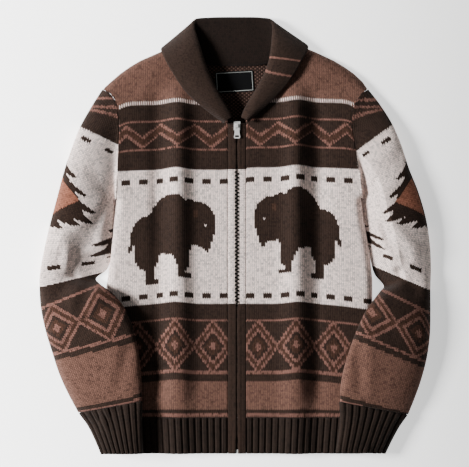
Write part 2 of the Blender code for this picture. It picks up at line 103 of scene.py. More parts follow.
# columns: distance from the zip line, height
FRONT_NECK = np.array([(15.8, 198), (30, 208), (46, 230), (62, 252), (75, 274), (86, 300), (92, 331)], float)
BACK_NECK = np.array([(92, 330), (80, 313), (62, 302), (30, 298), (0, 297)], float)

# columns: outer edge x and y, inner edge x and y, thickness, share carried by the body
SLEEVE_LEFT = np.array([
    (-229, 251, -207, 62, 24, 0), (-246, 224, -207, 52, 31, 0), (-267, 186, -208, 38, 37, 0),
    (-282, 147, -209.5, 23, 41, 0), (-294, 110, -211.5, 6, 43, 0), (-306, 65, -213.5, -14, 43, 0),
    (-318, 20, -215.5, -37, 41, 0), (-328, -23, -222, -56, 37, 0), (-335, -60, -240, -71, 31, 0),
    (-336, -91, -233, -80, 31, 0.8), (-333, -125, -211, -95, 34, 1), (-325, -162, -192, -118, 35, 1),
    (-314, -198, -177, -151, 34, 1), (-303, -232, -167, -193, 32, 1), (-289, -264, -162, -235, 30, 1),
    (-270.5, -299.5, -161, -277.6, 24, 1),
], float)
SLEEVE_RIGHT = np.array([
    (223, 251, 213, 62, 24, 0), (243, 225, 214, 48, 31, 0), (264, 191, 215.5, 33, 37, 0),
    (279, 156, 218.5, 16, 41, 0), (292, 116, 222, -3, 43, 0), (308, 76, 225, -23, 43, 0),
    (321, 31, 228.5, -45, 41, 0), (328, -14, 235, -65, 37, 0), (330, -54, 250, -84, 31, 0),
    (329, -91, 242, -94, 31, 0.8), (329, -128, 221, -120, 34, 1), (328, -167, 207, -147, 35, 1),
    (323, -205, 194, -179, 34, 1), (314, -241, 180, -224, 32, 1), (303, -273, 175, -252, 30, 1),
    (291.5, -302.6, 174, -278.6, 24, 1),
], float)
# how much of the armhole's bend a sleeve's section keeps, for every half row down from the seam
ARMHOLE_CARRY = (1.0, 0.7, 0.45, 0.25, 0.1)
# columns: outer edge x and y, inner edge x and y, thickness
CUFF_LEFT = np.array([
    (-270, -300, -161, -278, 22), (-254, -321, -161, -306, 23),
    (-242, -343, -160.5, -337, 23), (-231, -368, -159.5, -367, 21),
], float)
CUFF_RIGHT = np.array([
    (291, -303, 174, -279, 22), (277, -322, 175, -307, 23),
    (264, -345, 172, -338, 23), (253, -368, 167.5, -364, 21),
], float)
# columns: seam x y z, roll x y z, edge x y z, how far the fall lies over (1) or under (-1)
COLLAR = np.array([
    (-21, 200, 19.2, -9.5, 202, 23.2, -22, 193, 23.6, 1),
    (-31, 213, 19.2, -15, 215, 23.4, -42, 207, 23.4, 1),
    (-46, 234, 19.2, -26, 232, 23.6, -66, 226, 23.2, 1),
    (-60, 255, 19.2, -38, 254, 24.0, -88, 246, 23.5, 1),
    (-72, 277, 19.4, -49, 277, 24.5, -105, 271, 25.0, 1),
    (-82, 300, 18.6, -58, 303, 25.0, -120, 296, 24.0, 1),
    (-88, 317, 17.0, -67, 333, 24.0, -128, 314, 16.5, 0.9),
    (-84, 325, 12.5, -76, 367, 15.0, -127, 322, 8.5, 0.1),
    (-64, 298, 5.5, -55, 371, 7.2, -92, 338, 2.6, -0.9),
    (-34, 291.5, 5.2, -28, 371.5, 6.8, -40, 311, 2.4, -1),
    (0, 290.5, 5.2, 0, 371.5, 6.8, 0, 308, 2.4, -1),
    (34, 291.5, 5.2, 24, 371.5, 6.8, 40, 311, 2.4, -1),
    (64, 298, 5.5, 46, 371, 7.2, 90, 338, 2.6, -0.9),
    (82, 325, 12.5, 62, 366, 15.0, 119, 326, 8.5, 0.1),
    (87, 317, 17.0, 60, 333, 24.0, 120, 317, 16.5, 0.9),
    (80, 300, 18.6, 57, 303, 25.0, 109, 297, 24.0, 1),
    (71, 277, 19.4, 48, 277, 24.5, 97, 276, 25.0, 1),
    (59, 255, 19.2, 36, 254, 24.0, 84, 258, 23.5, 1),
    (45, 234, 19.2, 23, 232, 23.6, 62, 234, 23.2, 1),
    (30, 213, 19.2, 13, 215, 23.4, 38, 212, 23.4, 1),
    (20, 200, 19.2, 8.5, 202, 23.2, 18, 195, 23.6, 1),
], float)
# how far from the collar's roll its curve starts to turn, and the radius of the roll
ROLL_BACK, ROLL_RADIUS = 9.0, 4.3

# %% [markdown]
# ## The stitch
#
# A stitch of this heavy yarn is about 3.7 mm wide and 3.0 mm high. Everything below is counted in
# these two sizes: the width of a column of stitches (a wale) and the height of a row (a course).

# %% The stitch
WALE, COURSE = 3.7, 3.0
V_RISE = 0.46    # how far the colour edge follows the V, in courses
LEG_DEPTH = 0.7  # millimetres from the legs of a wale down to the groove between two wales


def linear(code):
    """sRGB hex to linear colour: a power curve of 2.4 with a short straight foot."""
    parts = [int(code[i:i + 2], 16) / 255 for i in (1, 3, 5)]
    return [c / 12.92 if c <= 0.04045 else ((c + 0.055) / 1.055) ** 2.4 for c in parts]


# the seven yarns, all dyed wool: the dark ones look almost black in the gaps, where shade is painted, and
# the cream is undyed
DARK, BROWN, PINK, CREAM, RUST, DEEP, EAR = range(7)
YARN_COLOURS = ("#291d17", "#5d4238", "#6a4a41", "#d8c6bf", "#7f5140", "#3a261d", "#402c22")
YARN = np.array([linear(c) + [1.0] for c in YARN_COLOURS])
print("stitch", WALE, "by", COURSE, "mm;", len(YARN), "yarns")

# %% [markdown]
# ## Shape helpers
#
# The laid body is a height over each point of the plan: it rounds off at the side seams and the
# shoulders and carries long soft folds. A tube is a loop of points for each section. All of it is
# worked out as whole arrays.

# %% Shape helpers


def smoothstep(t):
    """0 below 0, 1 above 1, and an S curve between: t squared times (3 - 2t)."""
    t = np.clip(t, 0, 1)
    return t * t * (3 - 2 * t)


def rounded(distance, reach):
    """Quarter circle: 0 at an edge, 1 from reach inwards."""
    return np.sqrt(1 - (1 - np.clip(distance / reach, 0, 1)) ** 2)


def rows_at(table, u):
    """Catmull-Rom curve through a table's rows, read at the row numbers u."""
    padded = np.vstack([2 * table[0] - table[1], table, 2 * table[-1] - table[-2]])
    u = np.clip(np.asarray(u, float), 0, len(table) - 1)
    i = np.minimum(u.astype(int), len(table) - 2)
    t = (u - i)[:, None]
    p0, p1, p2, p3 = padded[i], padded[i + 1], padded[i + 2], padded[i + 3]
    return 0.5 * (2 * p1 + (p2 - p0) * t + (2 * p0 - 5 * p1 + 4 * p2 - p3) * t ** 2
                  + (3 * p1 - p0 - 3 * p2 + p3) * t ** 3)


# %% Edges and height of the body
def body_edge(x, y):
    """Half width of the body at height y, on the side where x lies."""
    left = np.interp(y, BODY_EDGE[:, 0], BODY_EDGE[:, 1])
    right = np.interp(y, BODY_EDGE[:, 0], BODY_EDGE[:, 2])
    return np.where(np.asarray(x) < 0, left, right)


def shoulder_height(x):
    """Height of the shoulder line over x."""
    left = np.interp(np.abs(x), SHOULDER[:, 0], SHOULDER[:, 1])
    right = np.interp(np.abs(x), SHOULDER[:, 0], SHOULDER[:, 2])
    return np.where(np.asarray(x) < 0, left, right)


def body_height(x, y):
    """Height of the front's outer face.

    rise = plain rise + ridge - valley + a slope up to the sleeve + a blouse over the hem rib + folds,
    each a bell curve or an S curve, all rounded off as a quarter circle at the side and the shoulder.
    """
    x, y = np.asarray(x, float), np.asarray(y, float)
    inside = body_edge(x, y) - np.abs(x) + 1.2 * np.clip(y - UNDERARM, 0, None)
    below = (shoulder_height(x) - y) * 0.85
    fade = 1 - smoothstep((y - FADE_FROM) / FADE_OVER)
    width = RIDGE_WIDTH * (1 + 0.25 * smoothstep((60 - y) / 260))
    ridge = RIDGE_RISE * np.exp(-((np.abs(x) - RIDGE_AT) / width) ** 2)
    valley = VALLEY_DROP * np.exp(-((np.abs(x) - VALLEY_AT) / VALLEY_WIDTH) ** 2)
    above_hem = y - HEM_TOP
    blouse = BLOUSE_RISE * smoothstep(above_hem / 14) * (1 - smoothstep((above_hem - 20) / 45))
    away = smoothstep((np.abs(x) - 20) / 40)
    calm = np.where(y < HEM_TOP, 0.5, 0.5 + 0.5 * smoothstep(above_hem / 60))
    folds = 0.0
    for fx, fy, across, along, height, lean in FOLDS:
        off = (x - fx + lean * (y - fy)) / across
        folds = folds + height * np.exp(-off ** 2 - ((y - fy) / along) ** 2)
    towards_sleeve = smoothstep((np.abs(x) - VALLEY_AT) / 62) * (3 + 5 * smoothstep((y + 30) / 90)) * fade
    rise = FRONT_RISE + (ridge - valley + towards_sleeve) * fade * calm + blouse * away + folds * calm
    return FRONT_REST + rise * rounded(inside, SIDE_ROUND) * rounded(below, SHOULDER_ROUND)


print("front over the long fold:", round(float(body_height(RIDGE_AT, 0.0)), 1), "mm high")

# %% [markdown]
# ## Meshes with a yarn for each stitch
#
# A mesh keeps three things: its points, a map that counts stitches (used for the V of each stitch),
# and a colour at the corners of each face, which is the same at all four, so a stitch has one yarn.

# %% Mesh helpers


def cloth_mesh(name, points, faces, stitches, colours=None, centre=True):
    """Object from points in millimetres, quads, a stitch count (u, v) per point and a colour per face."""
    mesh = bpy.data.meshes.new(name)
    place = np.array([CENTRE[0], CENTRE[1], 0.0]) if centre else np.zeros(3)
    mesh.from_pydata(((points + place) * MM).tolist(), [], faces.tolist())
    chart = mesh.uv_layers.new(name="stitches")
    chart.data.foreach_set("uv", stitches[faces.ravel()].astype(np.float32).ravel())
    if colours is not None:
        yarn = mesh.color_attributes.new("yarn", "FLOAT_COLOR", "CORNER")
        yarn.data.foreach_set("color", np.repeat(colours, faces.shape[1], axis=0).astype(np.float32).ravel())
    mesh.shade_smooth()
    mesh.update()
    made = bpy.data.objects.new(name, mesh)
    bpy.context.scene.collection.objects.link(made)
    return made


def grid_faces(rows, columns, closed=False):
    """Quads of a grid, row after row; closed joins each row's last point to its first."""
    index = np.arange(rows * columns).reshape(rows, columns)
    following = np.roll(index, -1, axis=1)
    quads = np.stack([index[:-1], following[:-1], following[1:], index[1:]], axis=-1)
    if not closed:
        quads = quads[:, :-1]
    return quads.reshape(-1, 4)


# %% Cutting a panel
def inside_outline(outline, x, y):
    """Even-odd test: counts the outline's edges that a ray to the right of each point crosses."""
    found = np.zeros(x.shape, bool)
    after = np.roll(outline, -1, axis=0)
    for (x0, y0), (x1, y1) in zip(outline, after):
        if y0 == y1:
            continue
        crossing = (y0 > y) != (y1 > y)
        found ^= crossing & (x < (x1 - x0) * (y - y0) / (y1 - y0) + x0)
    return found


def nearest_on(outline, points):
    """The point of the outline that is nearest to each point, over all its edges."""
    best = np.full(len(points), np.inf)
    place = points.copy()
    after = np.roll(outline, -1, axis=0)
    for start, end in zip(outline, after):
        along = end - start
        t = np.clip(((points - start) @ along) / max(along @ along, 1e-9), 0, 1)
        candidate = start + t[:, None] * along
        far = np.linalg.norm(points - candidate, axis=1)
        closer = far < best
        best[closer] = far[closer]
        place[closer] = candidate[closer]
    return place


def cut_cloth(outline, spacing, warp=None):
    """A panel cut from knitted cloth: a grid of stitches, kept inside the outline and trimmed to it.

    Returns the plan points, the quads, the stitch count of each point and of each face's middle.
    """
    low, high = outline.min(axis=0) - 12, outline.max(axis=0) + 12
    x = np.arange(math.floor(low[0] / spacing[0]), math.ceil(high[0] / spacing[0]) + 1) * spacing[0]
    y = np.arange(math.floor(low[1] / spacing[1]), math.ceil(high[1] / spacing[1]) + 1) * spacing[1]
    across, up = np.meshgrid(x, y)
    chart = np.column_stack([across.ravel(), up.ravel()])
    plan = chart.copy()
    if warp is not None:
        plan[:, 1] += warp(chart[:, 0], chart[:, 1])
        plan[:, 1] += V_RISE * COURSE * np.cos(2 * math.pi * chart[:, 0] / WALE)
    faces = grid_faces(len(y), len(x))
    middle = plan[faces].mean(axis=1)
    faces = faces[inside_outline(outline, middle[:, 0], middle[:, 1])]
    count = np.bincount(faces.ravel(), minlength=len(plan))
    rim = (count > 0) & (count < 4)
    plan[rim] = nearest_on(outline, plan[rim])
    kept = np.nonzero(count > 0)[0]
    renumber = np.full(len(plan), -1)
    renumber[kept] = np.arange(len(kept))
    chart_middle = chart[faces].mean(axis=1)
    return plan[kept], renumber[faces], chart[kept], chart_middle


# %% Thickness of the cloth
def wall(piece, thickness, offset=-1.0, inner_slot=None):
    """Gives a sheet its thickness; the inner face may have the second material."""
    solid = piece.modifiers.new("thickness", "SOLIDIFY")
    solid.thickness = thickness * MM
    solid.offset = offset
    if inner_slot is not None:
        solid.material_offset = inner_slot
    return piece


def thin_edge(piece, share, thinnest, steps):
    """The wall thins to an edge in a few steps: share is 1 in the cloth and 0 on the edge."""
    group = piece.vertex_groups.new(name="thickness")
    for weight in np.linspace(0, 1, steps):
        chosen = np.nonzero(np.abs(share - weight) <= 0.5 / (steps - 1))[0]
        group.add(chosen.tolist(), float(thinnest + (1 - thinnest) * weight), "REPLACE")
    piece.modifiers["thickness"].vertex_group = "thickness"


# %% [markdown]
# ## Nodes
#
# A material is a small tree of nodes. One function adds a node, sets it and links it, so that each
# line of a material reads as one step of a sum.

# %% Node helper
MATH = "ShaderNodeMath"


def add(tree, kind, inputs=None, **settings):
    """One node with its settings; inputs gives each socket a constant or the output that feeds it."""
    node = tree.nodes.new(kind)
    for name, value in settings.items():
        setattr(node, name, value)
    for name, value in (inputs or {}).items():
        if isinstance(value, bpy.types.NodeSocket):
            tree.links.new(value, node.inputs[name])
        else:
            node.inputs[name].default_value = value
    return node


# %% [markdown]
# ## The relief of a stitch
#
# In plain knit each stitch shows as a V of two legs. It could be real geometry, but the jacket has
# some forty thousand stitches, so the material draws it from the stitch count that each mesh
# carries. The inside shows the backs of the stitches, short bars that lie side by side.

# %% Stitch relief
LEG_LEAN = 0.75    # how much higher a leg of the V ends than it starts, in courses
LEG_VALLEY = 0.45  # height left in the groove between two wales


def stitch_relief(tree, backs):
    """Height of the stitches from their count (u, v), with a chance and an odd-or-even mark for each.

    Height = sin(pi * part of v) * cos(distance from the middle of the wale). On the face v is first
    lowered towards the wale's edges, which turns each bar into a V.
    """
    lean, valley = (0.0, 0.0) if backs else (LEG_LEAN, LEG_VALLEY)
    chart = add(tree, "ShaderNodeUVMap", uv_map="stitches")
    split = add(tree, "ShaderNodeSeparateXYZ", {"Vector": chart.outputs[0]})
    u, v = split.outputs[0], split.outputs[1]
    phase = add(tree, MATH, {0: u}, operation="FRACT").outputs[0]
    centred = add(tree, MATH, {0: phase, 1: 2.0, 2: -1.0}, operation="MULTIPLY_ADD").outputs[0]
    aside = add(tree, MATH, {0: centred}, operation="ABSOLUTE").outputs[0]
    leg = add(tree, MATH, {0: aside, 1: -lean, 2: v}, operation="MULTIPLY_ADD").outputs[0]
    leg = add(tree, MATH, {0: leg}, operation="FRACT").outputs[0]
    leg = add(tree, MATH, {0: leg, 1: math.pi}, operation="MULTIPLY").outputs[0]
    leg = add(tree, MATH, {0: leg}, operation="SINE").outputs[0]
    groove = add(tree, MATH, {0: aside, 1: 0.5 * math.pi}, operation="MULTIPLY").outputs[0]
    groove = add(tree, MATH, {0: groove}, operation="COSINE").outputs[0]
    groove = add(tree, MATH, {0: groove, 1: 1 - valley, 2: valley}, operation="MULTIPLY_ADD").outputs[0]
    height = add(tree, MATH, {0: leg, 1: groove}, operation="MULTIPLY").outputs[0]
    column = add(tree, MATH, {0: u}, operation="FLOOR").outputs[0]
    row = add(tree, MATH, {0: v}, operation="FLOOR").outputs[0]
    cell = add(tree, "ShaderNodeCombineXYZ", {0: column, 1: row}).outputs[0]
    chance = add(tree, "ShaderNodeTexWhiteNoise", {"Vector": cell}, noise_dimensions="2D").outputs["Value"]
    half = add(tree, MATH, {0: column, 1: row}, operation="ADD").outputs[0]
    half = add(tree, MATH, {0: half, 1: 0.5}, operation="MULTIPLY").outputs[0]
    half = add(tree, MATH, {0: half}, operation="FRACT").outputs[0]
    odd = add(tree, MATH, {0: half, 1: 2.0}, operation="MULTIPLY").outputs[0]
    return height, chance, odd


# %% [markdown]
# ## Yarn finishes
#
# The cloth is a heavy wool blend, carded and plied, so it is matt and a little fuzzy, and its colour
# is never quite even: each stitch has its own brightness and soft patches a few millimetres wide run
# over the cloth. On top of that, shade is painted into the gaps between stitches, which are darker.

# %% Knit material
HEATHER_PATCH = 3.846  # millimetres across a soft patch in the yarn's colour


def knit_material(name, colour=None, backs=False, depth=0.9, painted_gap_shade=0.5, second=None):
    """Wool in plain knit. Brightness = chance of the stitch * soft patch * (painted gap shade + height).

    Without a colour it reads each stitch's yarn from the mesh. A second colour takes every other stitch.
    """
    made = bpy.data.materials.new(name)
    made.use_nodes = True
    tree = made.node_tree
    shader = tree.nodes["Principled BSDF"]
    height, chance, odd = stitch_relief(tree, backs)
    if colour is None:
        source = add(tree, "ShaderNodeAttribute", attribute_name="yarn").outputs["Color"]
    else:
        flat = add(tree, "ShaderNodeRGB")
        flat.outputs[0].default_value = linear(colour) + [1.0]
        source = flat.outputs[0]
    if second is not None:
        inputs = {"Factor": odd, 6: source, 7: linear(second) + [1.0]}
        source = add(tree, "ShaderNodeMix", inputs, data_type="RGBA").outputs[2]
    place = add(tree, "ShaderNodeTexCoord").outputs["Object"]
    inputs = {"Vector": place, "Scale": 1 / (HEATHER_PATCH * MM), "Detail": 4.0, "Roughness": 0.7}
    heather = add(tree, "ShaderNodeTexNoise", inputs).outputs["Fac"]
    rare = add(tree, MATH, {0: chance, 1: 3.0}, operation="POWER").outputs[0]
    shade = add(tree, MATH, {0: rare, 1: -0.5, 2: 1.12}, operation="MULTIPLY_ADD").outputs[0]
    cloud = add(tree, MATH, {0: heather, 1: 1.1, 2: 0.45}, operation="MULTIPLY_ADD").outputs[0]
    # painted shade: the colour is darkest in the gaps between stitches and lighter on their tops, by height
    inputs = {0: height, 1: 2.6 * (1.0 - painted_gap_shade), 2: painted_gap_shade}
    gap = add(tree, MATH, inputs, operation="MULTIPLY_ADD").outputs[0]
    total = add(tree, MATH, {0: shade, 1: cloud}, operation="MULTIPLY").outputs[0]
    total = add(tree, MATH, {0: total, 1: gap}, operation="MULTIPLY").outputs[0]
    tint = add(tree, "ShaderNodeVectorMath", {0: source, "Scale": total}, operation="SCALE").outputs[0]
    bump = add(tree, "ShaderNodeBump", {"Height": height, "Strength": 0.8, "Distance": depth * MM})
    tree.links.new(tint, shader.inputs["Base Color"])
    tree.links.new(bump.outputs[0], shader.inputs["Normal"])
    shader.inputs["Roughness"].default_value = 0.95
    shader.inputs["Specular IOR Level"].default_value = 0.12
    shader.inputs["Sheen Weight"].default_value = 0.06
    shader.inputs["Sheen Roughness"].default_value = 0.5
    return made


# %% Wool finishes
# pattern knitted in several yarns: a soft V for each stitch, the yarn's colour changing with the chart
jacquard = knit_material("jacquard_wool_knit")
# its inside, where the backs of two yarns alternate: a dark speckle
inside_knit = knit_material("wool_knit_inside", "#20150f", backs=True, second="#46332c")
# ribs in one dark yarn, pulled tight, so the gaps hardly show: less shade is painted into them
rib_knit = knit_material("dark_wool_rib", "#1f1611", painted_gap_shade=0.6)
# the narrow strip beside the zip, dark or pale as the field that it crosses
band_knit = knit_material("front_band_wool")
print("finishes:", len(bpy.data.materials))

# %% [markdown]
# ## The chart of the body
#
# A chart says which yarn makes each stitch. From the hem up the body has plain bands and thin lines,
# a row of nested diamonds, a wide pale field with a row of dashes at its top and bottom and a
# standing buffalo on each side, and a double zigzag across the chest.

# %% Chart of the body
PALE_FIELD = (193, 423)  # the widest band, in millimetres above the hem rib; the zip's bands follow it
# columns: from and to in millimetres above the hem rib, and the yarn
BODY_BANDS = (
    (0, 2.5, DARK), (2.5, 8.5, PINK), (8.5, 15, DARK), (15, 63, BROWN), (63, 75, DARK), (75, 79.5, PINK),
    (79.5, 163, DARK), (163, 168, PINK), (168, 193, DARK), (*PALE_FIELD, CREAM), (423, 455, DARK),
    (455, 459.5, PINK), (459.5, 504, DARK), (504, 507.5, PINK), (507.5, 534, DARK), (534, 540, CREAM),
    (540, 900, BROWN),
)
DIAMOND_ZONE, ZIGZAG_ZONE = (79.5, 163), (459.5, 504)
DIAMOND_STEP, ZIGZAG_STEP, SLEEVE_DIAMOND = 64.0, 58.5, 84.0
DASH_ROWS = ((204, 212.4), (398, 406.4))
DASH_STEP, DASH_LENGTH = 30.6, 15.0
# where the cloth is drawn up in folds the dashes come closer: distance from the zip as it lies, and
# distance along the cloth
DASH_PLACES = np.array([
    (0, 0), (21, 15.3), (51, 45.9), (81, 76.5), (107, 107.1), (132, 137.7), (158, 168.3), (190, 198.9),
    (232, 240),
], float)


def banded(bands, height):
    """Yarn of plain bands: the last band that holds this height, or dark."""
    found = np.full(height.shape, DARK)
    for low, high, yarn in bands:
        found[(height >= low) & (height < high)] = yarn
    return found


def diamonds(along, height, zone, step):
    """Nested diamonds: |along| / half step + |height| / half zone gives a ring number."""
    half = 0.5 * (zone[1] - zone[0])
    ring = np.abs((along + 0.5 * step) % step - 0.5 * step) / (0.5 * step)
    ring = ring + np.abs(height - zone[0] - half) / half
    pink = (ring < 0.2) | ((ring > 0.6) & (ring < 0.77)) | ((ring > 0.98) & (ring < 1.13))
    return np.where(pink, PINK, np.where((ring < 0.42) | ((ring > 0.77) & (ring < 1.05)), DEEP, DARK))


def zigzag(along, height, zone):
    """Two lines that follow the same triangle wave, one above the other."""
    wave = np.abs((along / ZIGZAG_STEP) % 1 - 0.5) * 2
    rise = zone[1] - zone[0]
    upper = zone[0] + rise * (0.40 + 0.48 * wave)
    lower = zone[0] + rise * (0.02 + 0.52 * wave)
    near = (np.abs(height - upper) < 2.3) | (np.abs(height - lower) < 2.3)
    return np.where(near, PINK, np.where((height < upper) & (height > lower), DEEP, DARK))


# %% The buffalo
def in_ellipse(x, y, cx, cy, rx, ry):
    """True inside an oval: (x / half width) squared + (y / half height) squared below 1."""
    return ((x - cx) / rx) ** 2 + ((y - cy) / ry) ** 2 < 1


def buffalo(x, y):
    """A plain shaggy buffalo in stitches, facing +x: ovals for hump, rump and head, and four-sided legs.

    x runs from 0 at the tail to about 45 at the muzzle, y from 0 at the hooves to 53 at the hump.
    """
    body = in_ellipse(x, y, 23, 34, 12.5, 18.5) | in_ellipse(x, y, 11.5, 29, 9.5, 12)
    body |= in_ellipse(x, y, 17, 27, 13, 10)
    body |= (x > 8) & (x < 24) & (y < 40) & (y < 26 + 1.05 * x) & (y > 20)
    head = in_ellipse(x, y, 36, 35, 8.5, 13.5) | in_ellipse(x, y, 31, 41, 7, 9)
    beard = (y > 18) & (y < 30) & (x > 39.5 - 0.62 * (y - 18)) & (x < 41 + 0.25 * (y - 18))
    hind = in_ellipse(x, y, 10, 18, 6.5, 11) & (y > 7)
    hind |= (y < 12) & (y >= 2) & (x > 9) & (x < 13.2 + 0.1 * y) | ((y < 2.2) & (x > 9) & (x < 15.5))
    fore = (y < 24) & (y >= 3) & (x > 26 - 0.15 * (y - 3)) & (x < 28.5 + 0.16 * y)
    fore |= (y < 4.5) & (y >= 2) & (x > 26) & (x < 32.5)
    fore |= (y > 8) & (y < 24) & (x > 19 + 0.42 * (24 - y)) & (x < 31)
    tail = (y > 19) & (y < 33) & (x > 0.25 + 0.22 * (y - 19)) & (x < 1.9 + 0.34 * (y - 19))
    found = np.where(body | head | beard | hind | fore | tail, DARK, CREAM)
    notch = in_ellipse(x, y, 29.4, 52.5, 1.8, 3.2)
    found = np.where(notch, CREAM, found)
    ear = in_ellipse(x, y, 34.6, 41.5, 1.3, 2.4)
    found = np.where(ear, EAR, found)
    eye = (np.abs(x - 39.5) < 0.6) & (np.abs(y - 34.5) < 0.6)
    return np.where(eye, CREAM, found)


BUFFALO = ((-1, -187.0, 231.0), (1, 180.0, 239.0))  # side, tail end and hooves in millimetres
BUFFALO_UNIT = (3.4, 2.8)  # millimetres to one unit of the buffalo's plan, across and up
print("buffalo about", round(45 * BUFFALO_UNIT[0]), "by", round(53 * BUFFALO_UNIT[1]), "mm")


# %% The whole chart of the body
def strays(yarn, seed):
    """A few pink and deep stitches change places, as where one yarn peeps through another."""
    chance = np.random.default_rng(seed).random(len(yarn))
    yarn = np.where((yarn == PINK) & (chance < 0.07), DEEP, yarn)
    return np.where((yarn == DEEP) & (chance > 0.93), DARK, yarn)


def body_chart(x, y):
    """Yarn of each stitch whose middle is at x, y."""
    height = y - HEM_TOP
    yarn = banded(BODY_BANDS, height)
    zone = (height >= DIAMOND_ZONE[0]) & (height < DIAMOND_ZONE[1])
    along = np.where(x < 0, x + 41, x - 36)
    yarn = np.where(zone, diamonds(along, height, DIAMOND_ZONE, DIAMOND_STEP), yarn)
    zone = (height >= ZIGZAG_ZONE[0]) & (height < ZIGZAG_ZONE[1])
    along = np.where(x < 0, x + 72, x - 69.5)
    yarn = np.where(zone, zigzag(along, height, ZIGZAG_ZONE), yarn)
    place = np.interp(np.abs(x), DASH_PLACES[:, 0], DASH_PLACES[:, 1]) - 0.5 * DASH_STEP
    off = np.abs((place + 0.5 * DASH_STEP) % DASH_STEP - 0.5 * DASH_STEP)
    for low, high in DASH_ROWS:
        dash = (height >= low) & (height < high) & (off < 0.5 * DASH_LENGTH)
        yarn = np.where(dash, DARK, yarn)
    for side, tail, hooves in BUFFALO:
        across = (x - tail) * -side / BUFFALO_UNIT[0]
        up = (height - hooves) / BUFFALO_UNIT[1]
        place = (across > -1) & (across < 47) & (up > -1) & (up < 56) & (np.sign(x) == side)
        yarn = np.where(place, buffalo(across, up), yarn)
    return yarn


one_wale = body_chart(np.repeat(-100.0, 200), np.linspace(HEM_TOP, HEM_TOP + 560, 200))
print("each yarn in 200 steps up one wale:", np.bincount(one_wale, minlength=len(YARN)).tolist())

# %% [markdown]
# ## The two fronts
#
# Each front is a knitted panel, cut at the neck, shoulder and armhole. It could be one smooth sheet
# with a painted picture, but a knitted picture has stepped edges, so the sheet is a grid of stitches
# that is trimmed to the outline. The courses sag a little towards the sides and lift over the fold.

# %% Fronts


def course_sway(x, y):
    """How far a course strays from level: up over the long fold, down towards the side."""
    lift = 4.2 * np.exp(-((np.abs(x) - 103) / 22) ** 2)
    lower = 1 - 0.6 * smoothstep((y + 20) / 160)
    sag = 6.5 * (np.clip(np.abs(x) - 125, 0, None) / 75) ** 1.5 * lower
    higher = np.where(x > 0, 3.0, -1.0) * smoothstep((y + 90) / 200) * smoothstep(np.abs(x) / 30)
    corner = 7.0 * smoothstep((np.abs(x) - 172) / 34) ** 2 * smoothstep((y - 120) / 70)
    return (lift - sag - corner + higher) * smoothstep((y - HEM_TOP) / 40)


def front_outline(side):
    """Edge of a front: up the side and armhole, along the shoulder, down the neck and the zip."""
    column = 1 if side < 0 else 2
    edge = [(side * row[column], row[0]) for row in BODY_EDGE[1:]]
    tip = abs(edge[-1][0])
    shoulder = [(side * row[0], row[column]) for row in SHOULDER[::-1] if row[0] < tip - 1 and row[0] > 91]
    neck = [(side * row[0], row[1]) for row in FRONT_NECK[::-1]]
    return np.array(edge + shoulder + neck + [(side * PANEL_INNER, HEM_TOP)])


def build_front(side, name):
    """Height = body height - groove between the wales, a cosine across each wale that fades at the rim."""
    plan, faces, chart, middle = cut_cloth(front_outline(side), (WALE / 2, COURSE), course_sway)
    height = body_height(plan[:, 0], plan[:, 1])
    wale = np.cos(2 * math.pi * chart[:, 0] / WALE)
    calm = smoothstep((height - FRONT_REST - 4) / 4)
    points = np.column_stack([plan, height - 0.5 * LEG_DEPTH * (1 + wale) * calm])
    stitch = np.floor(middle[:, 0] / WALE) * WALE + WALE / 2
    yarn = strays(body_chart(stitch, middle[:, 1]), 3)
    second_leg = (middle[:, 0] > stitch) & (yarn == CREAM) & (middle[:, 1] - HEM_TOP > 500)
    colours = YARN[np.where(second_leg, BROWN, yarn)]
    front = cloth_mesh(name, points, faces, chart / (WALE, COURSE), colours)
    front.data.materials.append(jacquard)
    front.data.materials.append(inside_knit)
    wall(front, WALL, inner_slot=1)
    from_side = body_edge(plan[:, 0], plan[:, 1]) - np.abs(plan[:, 0])
    thin_edge(front, smoothstep(from_side / 12), 0.2, 5)
    return front


for side, end in ((-1, "left"), (1, "right")):
    piece = build_front(side, "knit_front_" + end)
    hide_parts("front_" + end)
    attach(piece, "jacket")
    print(piece.name, len(piece.data.polygons), "stitch halves")

# %% [markdown]
# ## The back
#
# The back lies flat on the surface under the fronts. Only its inside shows, in the neck, where the
# backs of two yarns give a speckle. It is one flat sheet with its right side down.

# %% Back


def back_outline():
    """Edge of the back: each half runs up the side, along the shoulder and into the neck."""
    halves = []
    for side in (-1, 1):
        column = 1 if side < 0 else 2
        edge = [(side * row[column], row[0]) for row in BODY_EDGE[1:]]
        tip = abs(edge[-1][0])
        shoulder = [(side * row[0], row[column]) for row in SHOULDER[::-1] if row[0] < tip - 1]
        neck = [(side * row[0], row[1]) for row in BACK_NECK]
        halves.append(edge + shoulder + neck)
    return np.array(halves[0][:-1] + halves[1][::-1])


def build_back():
    """A flat sheet on the surface: height = 0, with the wall above it."""
    plan, faces, chart, middle = cut_cloth(back_outline(), (WALE, 2 * COURSE))
    points = np.column_stack([plan, np.zeros(len(plan))])
    colours = YARN[body_chart(middle[:, 0], middle[:, 1])]
    back = cloth_mesh("knit_back", points, faces[:, ::-1], chart / (WALE, COURSE), colours)
    back.data.materials.append(jacquard)
    back.data.materials.append(inside_knit)
    wall(back, WALL, inner_slot=1)
    return back


knit_back = build_back()
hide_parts("back_panel")
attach(knit_back, "jacket")
print(knit_back.name, len(knit_back.data.polygons), "faces")

# %% [markdown]
# ## Sleeves
#
# A sleeve is a tube laid flat: its underside is flat, its edges are round and its top is crowned. At
# the armhole its section follows the seam, and below the elbow it climbs over the body's side. The
# courses of a sleeve run square to its own length, so the chart needs each point's place between a
# few lines that are drawn across the sleeve.

# %% Sleeve shape
# share of the width at which a plain section is highest, and the powers of its outer and inner side
PLAIN_CROWN = (0.5, 2.2, 2.2)
# the left sleeve's hollow at the elbow: its middle up the model, and half its length
ELBOW_AT, ELBOW_WIDTH = -34, 32


